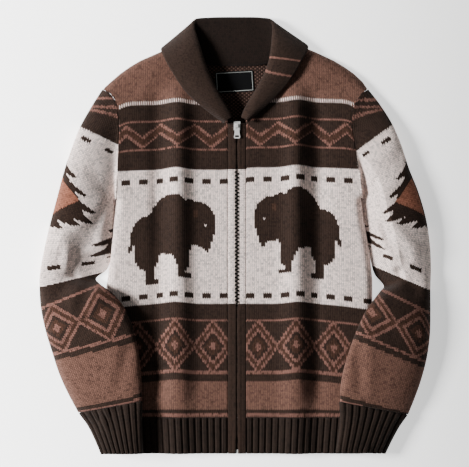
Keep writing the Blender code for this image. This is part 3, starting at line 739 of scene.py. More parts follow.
def armhole_curve(side):
    """The armhole's seam in plan, moved out by the seam's gap: a point for each share of its length."""
    column = 1 if side < 0 else 2
    rows = BODY_EDGE[BODY_EDGE[:, 0] >= UNDERARM][::-1]
    points = np.column_stack([side * rows[:, column], rows[:, 0]])
    steps = np.concatenate([[0], np.cumsum(np.linalg.norm(np.diff(points, axis=0), axis=1))])
    steps = steps / steps[-1]
    along = np.gradient(points, axis=0)
    normal = np.column_stack([along[:, 1], -along[:, 0]]) * -side
    normal = normal / np.linalg.norm(normal, axis=1)[:, None]
    moved = points + normal * GAP * 1.5
    return lambda share: np.column_stack([np.interp(share, steps, moved[:, i]) for i in range(2)])


# %% A sleeve's section
def base_height(x, y, over, lower):
    """Height of the cloth that a sleeve lies on: the floor, rising softly over the body's side."""
    edge = body_edge(x, y)
    full = body_height(np.sign(x) * np.minimum(np.abs(x), edge - SIDE_ROUND), y) + 1.3
    ramp = smoothstep((edge - np.abs(x) + 30) / 36)
    return over * full * ramp + lower


def section_loop(row, lower, armhole, carry, count):
    """A laid tube's section as evenly spaced points, from its outer edge over the top and back under.

    Top = edge + (height - edge) * (1 - away ** power) ** (1 / power), where away grows from 0 at the
    crown to 1 at each edge. A power of 2 gives a round side, 1 a straight slope and less a hollow one.
    """
    outer, inner, height = row[0:2], row[2:4], row[4]
    over = row[5] if len(row) > 5 else 1.0
    share = 0.5 - 0.5 * np.cos(np.linspace(0, math.pi, 200))
    if armhole is not None and carry > 0:
        ends = armhole(np.array([0.0, 1.0]))
        bow = carry * (armhole(share) - (ends[0] + (ends[1] - ends[0]) * share[:, None]))
    else:
        bow = 0.0
    chord = outer + (inner - outer) * share[:, None] + bow
    corner = min(0.35, 0.42 * height / np.linalg.norm(inner - outer))
    floor = base_height(chord[:, 0], chord[:, 1], over, lower)
    free = (1 - over) * (armhole is not None)
    elbow = math.exp(-((0.5 * (outer[1] + inner[1]) - ELBOW_AT) / ELBOW_WIDTH) ** 2) * free
    own = (0.3 - 0.09 * elbow, 2.0, 1.35 - 0.6 * elbow) if outer[0] < 0 else (0.56, 1.5, 0.85)
    plain = np.array(PLAIN_CROWN)
    crown, power_out, power_in = plain + free * (np.array(own) - plain)
    edge = height * (0.42 - 0.26 * free * smoothstep(share))
    away = np.where(share < crown, 1 - share / crown, (share - crown) / (1 - crown))
    power = np.where(share < crown, power_out, power_in)
    top = edge + (height - edge) * (1 - away ** power) ** (1 / power)
    above = floor[0] + (floor[-1] - floor[0]) * share if over > 0 else floor
    if carry > 0:
        seam = armhole(share)
        top = np.maximum(edge, top + carry ** 3 * (body_height(seam[:, 0], seam[:, 1]) - top))
    lift = edge * (1 - rounded(np.minimum(share, 1 - share), corner))
    least = 2 * WALL * rounded(np.minimum(share, 1 - share), corner)
    upper = np.column_stack([chord, np.maximum(above + top, floor + lift + least)])
    under = np.column_stack([chord, floor + lift])[::-1][1:-1]
    loop = np.vstack([upper, under, upper[:1]])
    steps = np.concatenate([[0], np.cumsum(np.linalg.norm(np.diff(loop, axis=0), axis=1))])
    even = np.linspace(0, steps[-1], count, endpoint=False)
    return np.column_stack([np.interp(even, steps, loop[:, i]) for i in range(3)]), steps[-1]


def tube_points(table, u, count, lower=0.0, armhole=None):
    """Loops of a tube at the row numbers u of its table, and each loop's length round."""
    loops, rounds = [], []
    rows = rows_at(table, u)
    if armhole is not None:
        ends = armhole(np.array([0.0, 1.0]))
        rows[0, 0:2], rows[0, 2:4] = ends[0], ends[1]
    for at, row in zip(u, rows):
        carry = np.interp(2 * at, range(len(ARMHOLE_CARRY)), ARMHOLE_CARRY, right=0.0) if armhole else 0.0
        loop, length = section_loop(row, lower, armhole, carry, count)
        loops.append(loop)
        rounds.append(length)
    return np.array(loops), np.array(rounds)


print("sections of a sleeve:", len(SLEEVE_LEFT))

# %% [markdown]
# ## The chart of the sleeves
#
# The sleeves carry the same bands and diamonds as the body, worked to their own width. On the pale
# field a stepped star is folded over the outer edge, so that half of it shows, and part of the next
# star comes round the inner edge. A slanting line closes the pattern under the shoulder.

# %% Chart of the sleeves
# lines across each sleeve, from its outer to its inner edge: height in millimetres up the sleeve
# from the cuff, then the two ends in plan
LINES_LEFT = np.array([
    (-40, -240, -345, -160, -330), (0, -269, -305, -161.5, -280), (107, -314, -205, -175, -172),
    (196, -330, -121.5, -218, -75), (235, -334, -86, -250, -66), (262, -331, -52, -219, -40),
    (359, -306, 62, -205, 42), (465, -270, 172, -202, 138), (480, -267, 186, -200, 155),
    (529, -250, 220, -208, 219), (545, -241, 235, -210, 234), (559, -235, 250, -205, 249),
], float)
LINES_RIGHT = np.array([
    (-40, 262, -348, 172, -325), (0, 286, -312, 175, -284), (107, 320, -218, 194, -164),
    (196, 326, -130, 228, -82), (235, 329, -92, 255, -60), (262, 329, -62, 250, -30),
    (359, 314, 62, 215, 40), (465, 272, 176, 209, 135), (480, 265, 191, 206, 147),
    (529, 250, 220, 202, 220), (545, 238, 232, 205, 230), (559, 228, 254, 200, 249),
], float)
SLEEVE_BANDS = (
    (-60, 2.5, DARK), (2.5, 7.5, PINK), (7.5, 14, DARK), (14, 101, BROWN), (101, 110, DARK),
    (110, 114.5, PINK), (114.5, 194, DARK), (194, 199, PINK), (199, 235, DARK), (235, 480, CREAM),
    (480, 527, DARK), (527, 532, PINK), (532, 543, DARK), (543, 547.5, PINK), (547.5, 700, DARK),
)
SLEEVE_DIAMOND_ZONE = (114.5, 194)
STAR_AT = 369.0         # height of the star's middle
NEXT_STAR_DROP = 58.0   # how much lower the next stars are
NEXT_STAR_INSET = 42.0  # how far the next stars are cut by the sleeve's edge
# the star's toothed edge: way up from its middle, and how far it reaches
STAR_EDGE = np.array([
    (-56, 0), (-46, 4), (-45, 20), (-41, 26), (-34, 14), (-33, 38), (-28, 46), (-22, 32), (-21, 56),
    (-16, 66), (-9, 50), (-2, 46), (-1, 62), (5, 68), (10, 44), (20, 30), (21, 46), (26, 50), (31, 22),
    (38, 12), (39, 26), (44, 30), (48, 8), (58, 0),
], float)


def height_up_sleeve(lines, x, y):
    """Height from the lines across the sleeve: a point's share of the way between the two next to it."""
    found = np.full(x.shape, lines[-1, 0])
    sides = []
    for _, ox, oy, ix, iy in lines:
        length = math.hypot(ix - ox, iy - oy)
        sides.append(((ix - ox) * (y - oy) - (iy - oy) * (x - ox)) / length)
    turn = 1.0 if lines[0, 3] > lines[0, 1] else -1.0
    sides = np.array(sides) * turn
    for k in range(len(lines) - 2, -1, -1):
        below, above = sides[k], sides[k + 1]
        between = (below >= 0) & (above < 0)
        share = below / np.maximum(below - above, 1e-6)
        found = np.where(between, lines[k, 0] + (lines[k + 1, 0] - lines[k, 0]) * share, found)
    found = np.where(sides[0] < 0, lines[0, 0], found)
    return found


# %% The star
def star(across, up):
    """A stepped star: its half width falls from the middle in steps, each with a spike on it."""
    steps = up + 0.35 * np.abs(across)
    dark = np.abs(across) < np.interp(steps, STAR_EDGE[:, 0], STAR_EDGE[:, 1], left=0, right=0)
    core = np.abs(across) < 40 * (1 - np.abs(up + 3) / 33)
    return dark, core & dark & (np.abs(across) > 3)


def sleeve_chart(across, up, half_round):
    """Yarn of each stitch: across is the way round from the outer edge, up the way from the cuff."""
    yarn = banded(SLEEVE_BANDS, up)
    zone = (up >= SLEEVE_DIAMOND_ZONE[0]) & (up < SLEEVE_DIAMOND_ZONE[1])
    yarn = np.where(zone, diamonds(across - 30, up, SLEEVE_DIAMOND_ZONE, SLEEVE_DIAMOND), yarn)
    zone = (up >= 484) & (up < 527)
    slant = np.abs(np.abs(across) * 0.14 + up - 524) < 2.2
    yarn = np.where(zone & slant, PINK, yarn)
    for centre, at, inset in ((0.0, STAR_AT, 0.0), (1.0, STAR_AT - NEXT_STAR_DROP, NEXT_STAR_INSET)):
        off = np.abs(np.abs(across) - centre * half_round) / 1.5 + inset
        dark, core = star(off, up - at)
        yarn = np.where(dark & (up > 250) & (up < 470), DARK, yarn)
        yarn = np.where(core, RUST, yarn)
    for low, high in ((256, 263), (461, 468)):
        dash = (up >= low) & (up < high) & ((np.abs(across) + 39) % 61.0 < 24)
        yarn = np.where(dash, DARK, yarn)
    return yarn


print("large star:", STAR_EDGE[-1, 0] - STAR_EDGE[0, 0], "mm high")

# %% [markdown]
# ## The sleeves' cloth
#
# A sleeve has a ring of points for about every course, with a point on each leg and in each groove.
# A sleeve of thick cloth creases where it bends, so soft grooves run in from its edges at the elbow.
# They could be a noise, but real creases have a place and a direction, so each is a line of its own.

# %% Build the sleeves
SLEEVE_WALES = 92
SLEEVE_COURSES = 190
# creases: the two ends in plan, half width and depth; a negative depth is a ridge
CREASES = {
    -1: np.array([
        (-216, 40, -262, 0, 12, 3.0), (-274, -66, -228, -84, 8, 3.0), (-300, 150, -240, 110, 16, 2.0),
        (-268, -45, -300, -95, 12, 3.0), (-212, -120, -262, -150, 14, 2.0),
        (-185, -190, -200, -262, 10, 2.0), (-240, -60, -262, -120, 9, 2.0),
        (-294, -2, -284, -46, 11, -3.5), (-258, -58, -244, -14, 18, 7.5),
    ], float),
    1: np.array([
        (222, 34, 284, -34, 11, 5.0), (236, -92, 276, -60, 9, 4.0), (292, 140, 236, 104, 16, 2.0),
        (270, -48, 300, -92, 12, 3.0), (216, -130, 262, -160, 14, 2.0), (205, -190, 206, -262, 10, 2.4),
        (236, -60, 232, -110, 9, 2.0),
    ], float),
}


def crease_depth(x, y, side):
    """Depth of the creases: a bell curve about each line, with a lower one raised on both its sides."""
    found = np.zeros(x.shape)
    for x0, y0, x1, y1, width, depth in CREASES[side]:
        along = np.array([x1 - x0, y1 - y0])
        length = np.linalg.norm(along)
        t = ((x - x0) * along[0] + (y - y0) * along[1]) / length ** 2
        off = ((x - x0) * along[1] - (y - y0) * along[0]) / length
        ends = np.clip(np.abs(t - 0.5) - 0.5, 0, None) * length
        found += depth * np.exp(-(off / width) ** 2 - (ends / width) ** 2)
        found -= 0.5 * depth * np.exp(-((np.abs(off) - 1.9 * width) / width) ** 2 - (ends / width) ** 2)
    return found


def build_sleeve(side, name, table, lines):
    """A laid tube whose top = section's height - creases - grooves between the wales."""
    count = SLEEVE_WALES * 2
    u = np.linspace(0, len(table) - 1, SLEEVE_COURSES)
    loops, rounds = tube_points(table, u, count, armhole=armhole_curve(side))
    flat = loops.reshape(-1, 3)
    middle = np.repeat(0.5 * (loops[:, :, 2].min(axis=1) + loops[:, :, 2].max(axis=1)), count)
    on_top = smoothstep((flat[:, 2] - middle) / 9)
    groove = crease_depth(flat[:, 0], flat[:, 1], side) * smoothstep((u.repeat(count) - 1) / 2)
    calm = smoothstep((len(table) - 1 - u.repeat(count)) / 1.5)
    legs = 0.5 * LEG_DEPTH * (1 + np.cos(math.pi * (np.arange(count) % 2)))
    flat[:, 2] -= on_top * (groove * calm + np.tile(legs, SLEEVE_COURSES))
    up = height_up_sleeve(lines, flat[:, 0], flat[:, 1])
    turn = np.arange(count) / count
    signed = np.where(turn > 0.5, turn - 1, turn)
    across = (signed[None, :] * rounds[:, None]).ravel()
    wale = np.arange(count) / 2.0
    stitches = np.column_stack([np.tile(wale, SLEEVE_COURSES), up / COURSE])
    faces = grid_faces(SLEEVE_COURSES, count, closed=True)
    across_middle = across[faces]
    spread = across_middle.max(axis=1) - across_middle.min(axis=1)
    across_middle = np.where(spread > 60, np.abs(across_middle).max(axis=1), across_middle.mean(axis=1))
    half_round = np.repeat(rounds[:-1] * 0.5, count)
    colours = YARN[strays(sleeve_chart(across_middle, up[faces].mean(axis=1), half_round), 7)]
    if side < 0:
        faces = faces[:, ::-1]
    sleeve = cloth_mesh(name, flat, faces, stitches, colours)
    sleeve.data.materials.append(jacquard)
    sleeve.data.materials.append(inside_knit)
    wall(sleeve, WALL, inner_slot=1)
    return sleeve, float(rounds.mean())


for side, end, table, lines in ((-1, "left", SLEEVE_LEFT, LINES_LEFT),
                                (1, "right", SLEEVE_RIGHT, LINES_RIGHT)):
    piece, girth = build_sleeve(side, "knit_sleeve_" + end, table, lines)
    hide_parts("sleeve_" + end)
    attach(piece, "jacket")
    print(piece.name, "girth", round(girth), "mm,", len(piece.data.polygons), "stitch halves")

# %% [markdown]
# ## Ribs
#
# Ribs stand out of the cloth's face while its inside stays plain. A cosine across the width, with
# its tops widened, gives the ribs; the strip then has a plain inner skin of its own.

# %% Rib helpers


def two_skins(name, outer, inner, closed, stitches):
    """A closed wall from an outer and an inner grid of the same size, joined round their rims."""
    rows, columns = outer.shape[:2]
    outside = grid_faces(rows, columns, closed)
    inside = grid_faces(rows, columns, closed)[:, ::-1] + rows * columns
    index = np.arange(rows * columns).reshape(rows, columns)
    rims = []

    def rim(line, flip):
        quads = np.column_stack([line[1:], line[:-1], line[:-1] + rows * columns, line[1:] + rows * columns])
        rims.append(quads[:, ::-1] if flip else quads)

    first, last = index[0], index[-1]
    if closed:
        first, last = np.append(first, first[0]), np.append(last, last[0])
    rim(first, False)
    rim(last, True)
    if not closed:
        rim(index[:, 0], True)
        rim(index[:, -1], False)
    points = np.vstack([outer.reshape(-1, 3), inner.reshape(-1, 3)])
    faces = np.vstack([outside, inside] + rims)
    return cloth_mesh(name, points, faces, np.vstack([stitches, stitches]))


def rib_wave(phase):
    """Rib profile: 1 on a rib and 0 in the valley, with a wide top and a narrow valley."""
    return 1 - (0.5 + 0.5 * np.cos(2 * math.pi * phase)) ** 4


# %% [markdown]
# ## The ribbed hem
#
# The hem is three strips of rib in dark wool: one under each front and one across the back. Rib pulls
# in, so the strip draws the cloth above it together and the fronts blouse a little over it.

# %% Hem
HEM_RIB, RIB_POINTS = 10.6, 12  # width of a rib, and points across it
RIB_DEPTH = 2.3
HEM_ROWS = 26


def build_hem(side, name):
    """Height = body height - rib depth * (1 - rib wave); the inner skin is plain and lies a wall below."""
    ribs = int(round((BODY_EDGE[0, 1] - PANEL_INNER) / HEM_RIB))
    columns = ribs * RIB_POINTS + 1
    share = np.linspace(0, 1, columns)
    share = np.concatenate([share[:-1], 1 - (1 - share[-2]) * np.array([0.6, 0.3, 0.1, 0])])
    y = np.linspace(HEM_END, HEM_TOP - GAP, HEM_ROWS)
    edge = np.interp(y, BODY_EDGE[:, 0], BODY_EDGE[:, 1])
    across = PANEL_INNER + (edge[:, None] - PANEL_INNER) * share
    up = np.repeat(y[:, None], len(share), axis=1)
    rise = body_height(side * across, up)
    wave = rib_wave(share * ribs)[None, :] * smoothstep((edge[:, None] - across) / 4)
    outer = np.stack([side * across, up, rise - RIB_DEPTH * (1 - wave)], axis=-1)
    edge_in = edge - WALL
    across_in = PANEL_INNER + (edge_in[:, None] - PANEL_INNER) * share
    fall = rounded(edge_in[:, None] - across_in, SIDE_ROUND)
    rise_in = FRONT_REST + (rise - WALL - RIB_RISE - FRONT_REST) * fall
    inner = np.stack([side * across_in, up, np.maximum(rise_in, FRONT_REST)], axis=-1)
    stitches = np.column_stack([(across / WALE).ravel(), (up / COURSE).ravel()])
    if side < 0:
        outer, inner = outer[:, ::-1], inner[:, ::-1]
        stitches = stitches.reshape(HEM_ROWS, -1, 2)[:, ::-1].reshape(-1, 2)
    hem = two_skins(name, outer, inner, False, stitches)
    hem.data.materials.append(rib_knit)
    return hem


for side, end in ((-1, "left"), (1, "right")):
    piece = build_hem(side, "hem_ribs_" + end)
    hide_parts("hem_rib_" + end)
    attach(piece, "jacket")
    print(piece.name, len(piece.data.polygons), "faces")


def build_hem_back():
    """A flat strip on the surface, with shallow ribs on its upper face, which narrows to the hem's end."""
    wide, narrow = BODY_EDGE[1, 1], BODY_EDGE[0, 1]
    share = np.linspace(-1, 1, 241)
    y = np.linspace(HEM_END, HEM_TOP - GAP, 8)
    half = np.interp(y, (HEM_END, HEM_TOP), (narrow, wide))
    x = half[:, None] * share
    up = np.repeat(y[:, None], len(share), axis=1)
    top = np.stack([x, up, np.full_like(x, WALL) - 0.5 * (1 - rib_wave(share * 20))], axis=-1)
    under = np.stack([x, up, np.zeros_like(x)], axis=-1)
    stitches = np.column_stack([(x / WALE).ravel(), (up / COURSE).ravel()])
    hem = two_skins("hem_back", top, under, False, stitches)
    hem.data.materials.append(rib_knit)
    return hem


hem_back = build_hem_back()
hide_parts("hem_rib_back")
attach(hem_back, "jacket")
print(hem_back.name, len(hem_back.data.polygons), "faces")

# %% [markdown]
# ## The cuffs
#
# A cuff is a ring of the same rib. It lies on the hem and is pressed flat by its own weight, so the
# ribs stand up on its top and edges and are flattened underneath.

# %% Cuffs
CUFF_RIBS = 20
CUFF_ROWS, CUFF_ROW = 30, 24  # rows of points, and millimetres to one row of the cuff's table


def build_cuff(side, name, table):
    """Outer skin = inner skin + its normal * (wall + rib height - rib depth * (1 - rib wave))."""
    inset = table.copy()
    along = inset[:, 2:4] - inset[:, 0:2]
    along = along / np.linalg.norm(along, axis=1)[:, None]
    inset[:, 0:2] += along * WALL
    inset[:, 2:4] -= along * WALL
    inset[:, 4] -= 2 * WALL
    count = CUFF_RIBS * RIB_POINTS
    u = np.linspace(0, len(table) - 1, CUFF_ROWS)
    inner, rounds = tube_points(inset, u, count, lower=WALL + RIB_RISE)
    ahead = np.roll(inner, -1, axis=1) - np.roll(inner, 1, axis=1)
    down = np.gradient(inner, axis=0)
    normal = np.cross(ahead, down)
    normal = normal / np.linalg.norm(normal, axis=2)[:, :, None]
    middle = inner.mean(axis=1, keepdims=True)
    facing = np.sign(((inner - middle) * normal).sum(axis=2).mean())
    normal = normal * facing
    low = inner[:, :, 2].min(axis=1)[:, None]
    rise = smoothstep((inner[:, :, 2] - low - 0.2 * inset[0, 4]) / 3)
    wave = rib_wave(np.arange(count) / RIB_POINTS)[None, :] * rise
    outer = inner + normal * (WALL + RIB_RISE - RIB_DEPTH * (1 - wave))[:, :, None]
    wale = np.arange(count) / count * rounds.mean() / WALE
    stitches = np.column_stack([np.tile(wale, len(u)), np.repeat(u * CUFF_ROW / COURSE, count)])
    if facing < 0:
        outer, inner = outer[:, ::-1], inner[:, ::-1]
        stitches = stitches.reshape(len(u), count, 2)[:, ::-1].reshape(-1, 2)
    cuff = two_skins(name, outer, inner, True, stitches)
    cuff.data.materials.append(rib_knit)
    return cuff


for side, end, table in ((-1, "left", CUFF_LEFT), (1, "right", CUFF_RIGHT)):
    piece = build_cuff(side, "cuff_ribs_" + end, table)
    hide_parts("cuff_" + end)
    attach(piece, "jacket")
    print(piece.name, len(piece.data.polygons), "faces")

# %% [markdown]
# ## The collar
#
# A shawl collar is one long strip: its seam runs round the neck, it stands up to a roll and falls
# back over the fronts. Each section is a curve through the seam, the roll and the free edge. Two
# thin pink stripes cross it on the right. It is knitted finer than the body, in dark wool. The side
# that faces the neck gets little light, so its colour is darkened there as painted shade.

# %% Collar
COLLAR_STITCH = (2.6, 2.2)  # millimetres to a wale and a course of the collar's finer knit
# the two stripes: place along the collar in rows of its table, and slant
COLLAR_STRIPES = ((14.97, 0.0), (15.81, 0.15))


def build_collar():
    """A strip of sections: seam, stand, roll, fall, middle and edge, smoothed along its length."""
    u = np.linspace(0, len(COLLAR) - 1, 321)
    rows = rows_at(COLLAR, u)
    seam, roll, edge, turn = rows[:, 0:3], rows[:, 3:6], rows[:, 6:9], rows[:, 9:10]
    flat = np.array([1.0, 1.0, 0.0])
    to_seam, to_edge = (seam - roll) * flat, (edge - roll) * flat
    stand_length = np.linalg.norm(to_seam, axis=1)[:, None]
    fall_length = np.linalg.norm(to_edge, axis=1)[:, None]
    back = np.minimum(ROLL_BACK + 6 * (1 - np.abs(turn)), 0.6 * stand_length)
    lift = np.column_stack([np.zeros((len(rows), 2)), ROLL_RADIUS * turn])
    stand = roll + to_seam / stand_length * back - lift
    fall = roll + to_edge / fall_length * back + lift
    middle = 0.5 * (fall + edge) + np.column_stack([np.zeros((len(rows), 2)), 2.6 * np.maximum(turn, 0)])
    control = np.stack([seam, stand, roll, fall, middle, edge])
    t = np.linspace(0, 5, 41)
    points = rows_at(control.reshape(6, -1), t).reshape(len(t), len(u), 3).transpose(1, 0, 2)
    soft = np.exp(-np.linspace(-1.8, 1.8, 33) ** 2)
    padded = np.concatenate([2 * points[:1] - points[16:0:-1], points, 2 * points[-1:] - points[-2:-18:-1]])
    points = sum(k * padded[i:i + len(points)] for i, k in enumerate(soft / soft.sum()))
    along = np.linalg.norm(np.diff(roll, axis=0), axis=1)
    distance = np.concatenate([[0], np.cumsum(along)])
    across = np.interp(t, range(6), (0, 40, 50, 60, 90, 130))
    wale, course = COLLAR_STITCH
    stitches = np.column_stack([np.repeat(distance / wale, len(t)), np.tile(across / course, len(u))])
    faces = grid_faces(len(u), len(t))[:, ::-1]
    middle_v = t[None, :-1].repeat(len(u) - 1, axis=0).ravel()
    middle_u = u[:-1, None].repeat(len(t) - 1, axis=1).ravel()
    colours = np.repeat(np.array([linear("#2b1f19") + [1.0]]), len(faces), axis=0)
    # painted shade: the stand, which faces the neck, is darkened to 0.4 of the colour, rising to full colour
    # past the roll
    colours[:, :3] *= np.interp(middle_v, (0, 1.4, 2.3), (0.4, 0.42, 1.0))[:, None]
    on_fall = (middle_v > 2.1) & (middle_v < 4.85)
    for row, slant in COLLAR_STRIPES:
        near = np.abs(middle_u - row - slant * (middle_v - 2)) < 0.08
        colours[near & on_fall] = YARN[PINK]
    collar = cloth_mesh("knit_collar", points.reshape(-1, 3), faces, stitches, colours)
    # fine dark wool with small stitches and shallow gaps, with less shade painted into them: smoother to the
    # eye than the body
    collar.data.materials.append(knit_material("dark_wool_collar_striped", None, depth=0.6, painted_gap_shade=0.6))
    wall(collar, COLLAR_WALL, 0.0)
    return collar


knit_collar = build_collar()
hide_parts("collar")
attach(knit_collar, "jacket")
print(knit_collar.name, len(knit_collar.data.polygons), "faces")

# %% [markdown]
# ## The front bands
#
# The front's edge is turned back beside the zip, which makes a narrow band over each zip tape. The
# two bands nearly meet and hide most of the zip. By the pale field they are pale and stand a little
# apart, so the teeth show there as a dark dotted line.

# %% Front bands
# how near the band's edge comes to the middle of the zip: height, distance
BAND_EDGE = (
    (-369, 1.8), (-345, 1.5), (-325, 0.7), (-122, 0.7), (-114, 1.6), (114, 1.6), (122, 0.8),
    (158, 0.8), (168, 1.5), (176, 4.2), (193, 4.2),
)
BAND_RISE = 0.9   # how much the band is rounded, and how much its edge is raised where it hides the zip
SHOWN_HALF, RAISED_FROM = 112, 118  # to this height from the middle the zip shows; from here it is hidden


def zip_side_colours(up, faces):
    """Yarn of a strip beside the zip: pale along the pale field and dark elsewhere."""
    middle = up.ravel()[faces].mean(axis=1) - HEM_TOP
    return YARN[np.where((middle > PALE_FIELD[0]) & (middle < PALE_FIELD[1]), CREAM, DARK)]


def build_band(side, name):
    """Height = front's rise + half a sine wave across the band + a raised edge where the zip is hidden."""
    share = np.linspace(0, 1, 11)
    y = np.arange(HEM_END, BAND_TOP + 0.1, COURSE)
    inner = np.interp(y, *zip(*BAND_EDGE))
    inner = inner + 0.25 * np.sin(y / 3.1) + 0.2 * np.sin(y / 17 + side)
    across = inner[:, None] + (BAND_OUTER - inner[:, None]) * share
    x = side * across
    up = np.repeat(y[:, None], len(share), axis=1)
    raised = (share < 0.35) * (np.abs(y) > RAISED_FROM)[:, None]
    crown = BAND_RISE * np.sin(math.pi * share) + BAND_RISE * raised
    z = np.full_like(x, FRONT_REST + FRONT_RISE) + crown
    points = np.stack([x, up, z], axis=-1)
    faces = grid_faces(len(y), len(share))
    if side < 0:
        faces = faces[:, ::-1]
    colours = zip_side_colours(up, faces)
    stitches = np.column_stack([(np.abs(x) / 2.8).ravel(), (up / COURSE).ravel()])
    band = cloth_mesh(name, points.reshape(-1, 3), faces, stitches, colours)
    band.data.materials.append(band_knit)
    wall(band, WALL)
    thin_edge(band, np.clip((across.ravel() - 3.0) / 1.2, 0, 1), 0.55, 3)
    return band


for side, end in ((-1, "left"), (1, "right")):
    piece = build_band(side, "band_knit_" + end)
    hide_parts("front_band_" + end)
    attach(piece, "jacket")
    print(piece.name, len(piece.data.polygons), "faces")

# %% [markdown]
# ## Metal and label finishes
#
# The slider, tab and box are cast zinc with a thin bright plating. Tumbling before plating leaves them
# satin, not mirror-like. The label is a stiff woven ribbon. A fine noise makes both a little uneven.

# %% Metal and label finishes
FINE_GRAIN = 1.111  # millimetres across a spot of the noise, the finest that the picture can show


def plain_material(name, colour, roughness, metallic=0.0):
    """A plain finish. Colour = the colour itself mixed with one a fifth darker, by a fine noise."""
    made = bpy.data.materials.new(name)
    made.use_nodes = True
    tree = made.node_tree
    shader = tree.nodes["Principled BSDF"]
    shader.inputs["Roughness"].default_value = roughness
    shader.inputs["Metallic"].default_value = metallic
    shader.inputs["Specular IOR Level"].default_value = 0.15 + 0.8 * metallic
    place = add(tree, "ShaderNodeTexCoord").outputs["Object"]
    inputs = {"Vector": place, "Scale": 1 / (FINE_GRAIN * MM), "Detail": 3.0}
    fine = add(tree, "ShaderNodeTexNoise", inputs).outputs["Fac"]
    darker = [c * 0.78 for c in linear(colour)] + [1.0]
    inputs = {"Fac": fine, "Color1": linear(colour) + [1.0], "Color2": darker}
    mixed = add(tree, "ShaderNodeMixRGB", inputs)
    tree.links.new(mixed.outputs[0], shader.inputs["Base Color"])
    return made


# cast zinc, plated and tumbled: bright even where little of the room mirrors in it
silver = plain_material("zinc_plated_silver", "#eceae6", 0.36, 0.45)
# oxidised teeth: nearly black and matt, so they read as dots and not as glints
dark_metal = plain_material("zip_teeth_dark", "#140e0b", 0.6, 0.0)
# black polyester ribbon, woven tight: the darkest thing in the picture, with no shine
label_cloth = plain_material("woven_label_black", "#050506", 0.95)
# its grey edge thread: a thin pale line that sets the label off from the dark neck
label_thread = plain_material("woven_label_edge_thread", "#a8aaa6", 0.8)


def finish_node(name, material):
    """Give a node of the plain model its finish, in each of its slots."""
    target = bpy.data.objects[name]
    for i in range(len(target.material_slots)):
        target.material_slots[i].material = material
    if not target.material_slots:
        target.data.materials.append(material)


for name in ("zip_slider", "zip_pull", "zip_box"):
    finish_node(name, silver)
finish_node("neck_label", label_cloth)
print("finishes:", len(bpy.data.materials))

# %% [markdown]
# ## The zip tapes
#
# A tape is a flat woven ribbon that carries one row of teeth. Most of it lies behind the band. Only
# its edge can be seen, and by the pale field it is pale like the band.

# %% Zip tapes
TAPE_AT, TAPE_LIFT, TAPE_WALL = 14.2, 1.4, 0.7  # height, how much higher its edge is in the pale field, wall


def build_tape(side, name):
    """A flat woven strip from the band's back to the middle of the teeth, pale where the band is pale."""
    low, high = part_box("zip_tape_" + name)
    bottom, top = low[1] / MM - CENTRE[1], high[1] / MM - CENTRE[1]
    y = np.arange(bottom, top, COURSE)
    y[-1] = top
    across = np.array([0.5, 2.5, 5.0, 9.0, 13.8])
    x = np.repeat(side * across[None, :], len(y), axis=0)
    up = np.repeat(y[:, None], len(across), axis=1)
    z = TAPE_AT + TAPE_LIFT * ((np.abs(up) < SHOWN_HALF) & (np.abs(x) < 3))
    points = np.stack([x, up, z], axis=-1).reshape(-1, 3)
    faces = grid_faces(len(y), len(across))
    if side < 0:
        faces = faces[:, ::-1]
    colours = zip_side_colours(up, faces)
    tape = cloth_mesh("tape_" + name, points, faces, points[:, :2] / (WALE, COURSE), colours)
    tape.data.materials.append(band_knit)
    return wall(tape, TAPE_WALL)


for side, end in ((-1, "left"), (1, "right")):
    piece = build_tape(side, end)
    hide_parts("zip_tape_" + end)
    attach(piece, "jacket")
    print(piece.name, len(piece.data.polygons), "faces")

# %% [markdown]
# ## The label's border
#
# The label is woven with a thin pale line round it. The line could be a change of colour, but it lies
# a little proud of the ribbon, so it is a thin frame of its own.

# %% Label border
LABEL_HALF = (32.5, 18.0)
LABEL_TURN = math.radians(3.5)
BORDER_INSETS = (1.6, 2.7)  # the line's two sides, in from the label's edge


def build_label_border():
    """A thin woven line round the label, 2 mm in from its edge, that follows its slight turn."""
    corners = {v.co[:] for v in bpy.data.objects["neck_label"].data.vertices}
    low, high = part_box("neck_label")
    top = np.array([c for c in corners if c[2] > 0.5 * (low[2] + high[2])])
    centre = top.mean(axis=0)
    along = np.array([math.cos(LABEL_TURN), math.sin(LABEL_TURN), 0]) * MM
    across = np.array([-math.sin(LABEL_TURN), math.cos(LABEL_TURN), 0]) * MM
    rings = []
    for inset in BORDER_INSETS:
        half_x, half_y = LABEL_HALF[0] - inset, LABEL_HALF[1] - inset
        rings.append([centre + sx * half_x * along + sy * half_y * across + np.array([0, 0, 0.00015])
                      for sx, sy in ((-1, -1), (1, -1), (1, 1), (-1, 1))])
    points = np.array(rings).reshape(-1, 3) / MM
    index = np.arange(4)
    faces = np.column_stack([index, (index + 1) % 4, (index + 1) % 4 + 4, index + 4])
    border = cloth_mesh("label_border", points, faces, np.zeros((8, 2)), centre=False)
    border.data.materials.append(label_thread)
    return wall(border, 0.2, 1.0)


label_border = build_label_border()
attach(label_border, "jacket")
print("label turned", round(math.degrees(LABEL_TURN), 1), "degrees")

# %% [markdown]
# ## The zip's teeth
#
# Each tooth is pressed on its tape's edge, and the two rows mesh. Where the bands hide the zip the
# teeth lie in the slot between them. By the pale field they lie on the bands' edges and are wider and
# flatter, because there the photo shows them as dark marks.

# %% Zip teeth
TOOTH_STEP = 6.4  # from one tooth to the next on the same side
TOOTH_HALF = (1.75, 1.2, 1.3)
TOOTH_WIDER = (1.55, 1.25, 0.7)  # the same tooth by the pale field, as a share


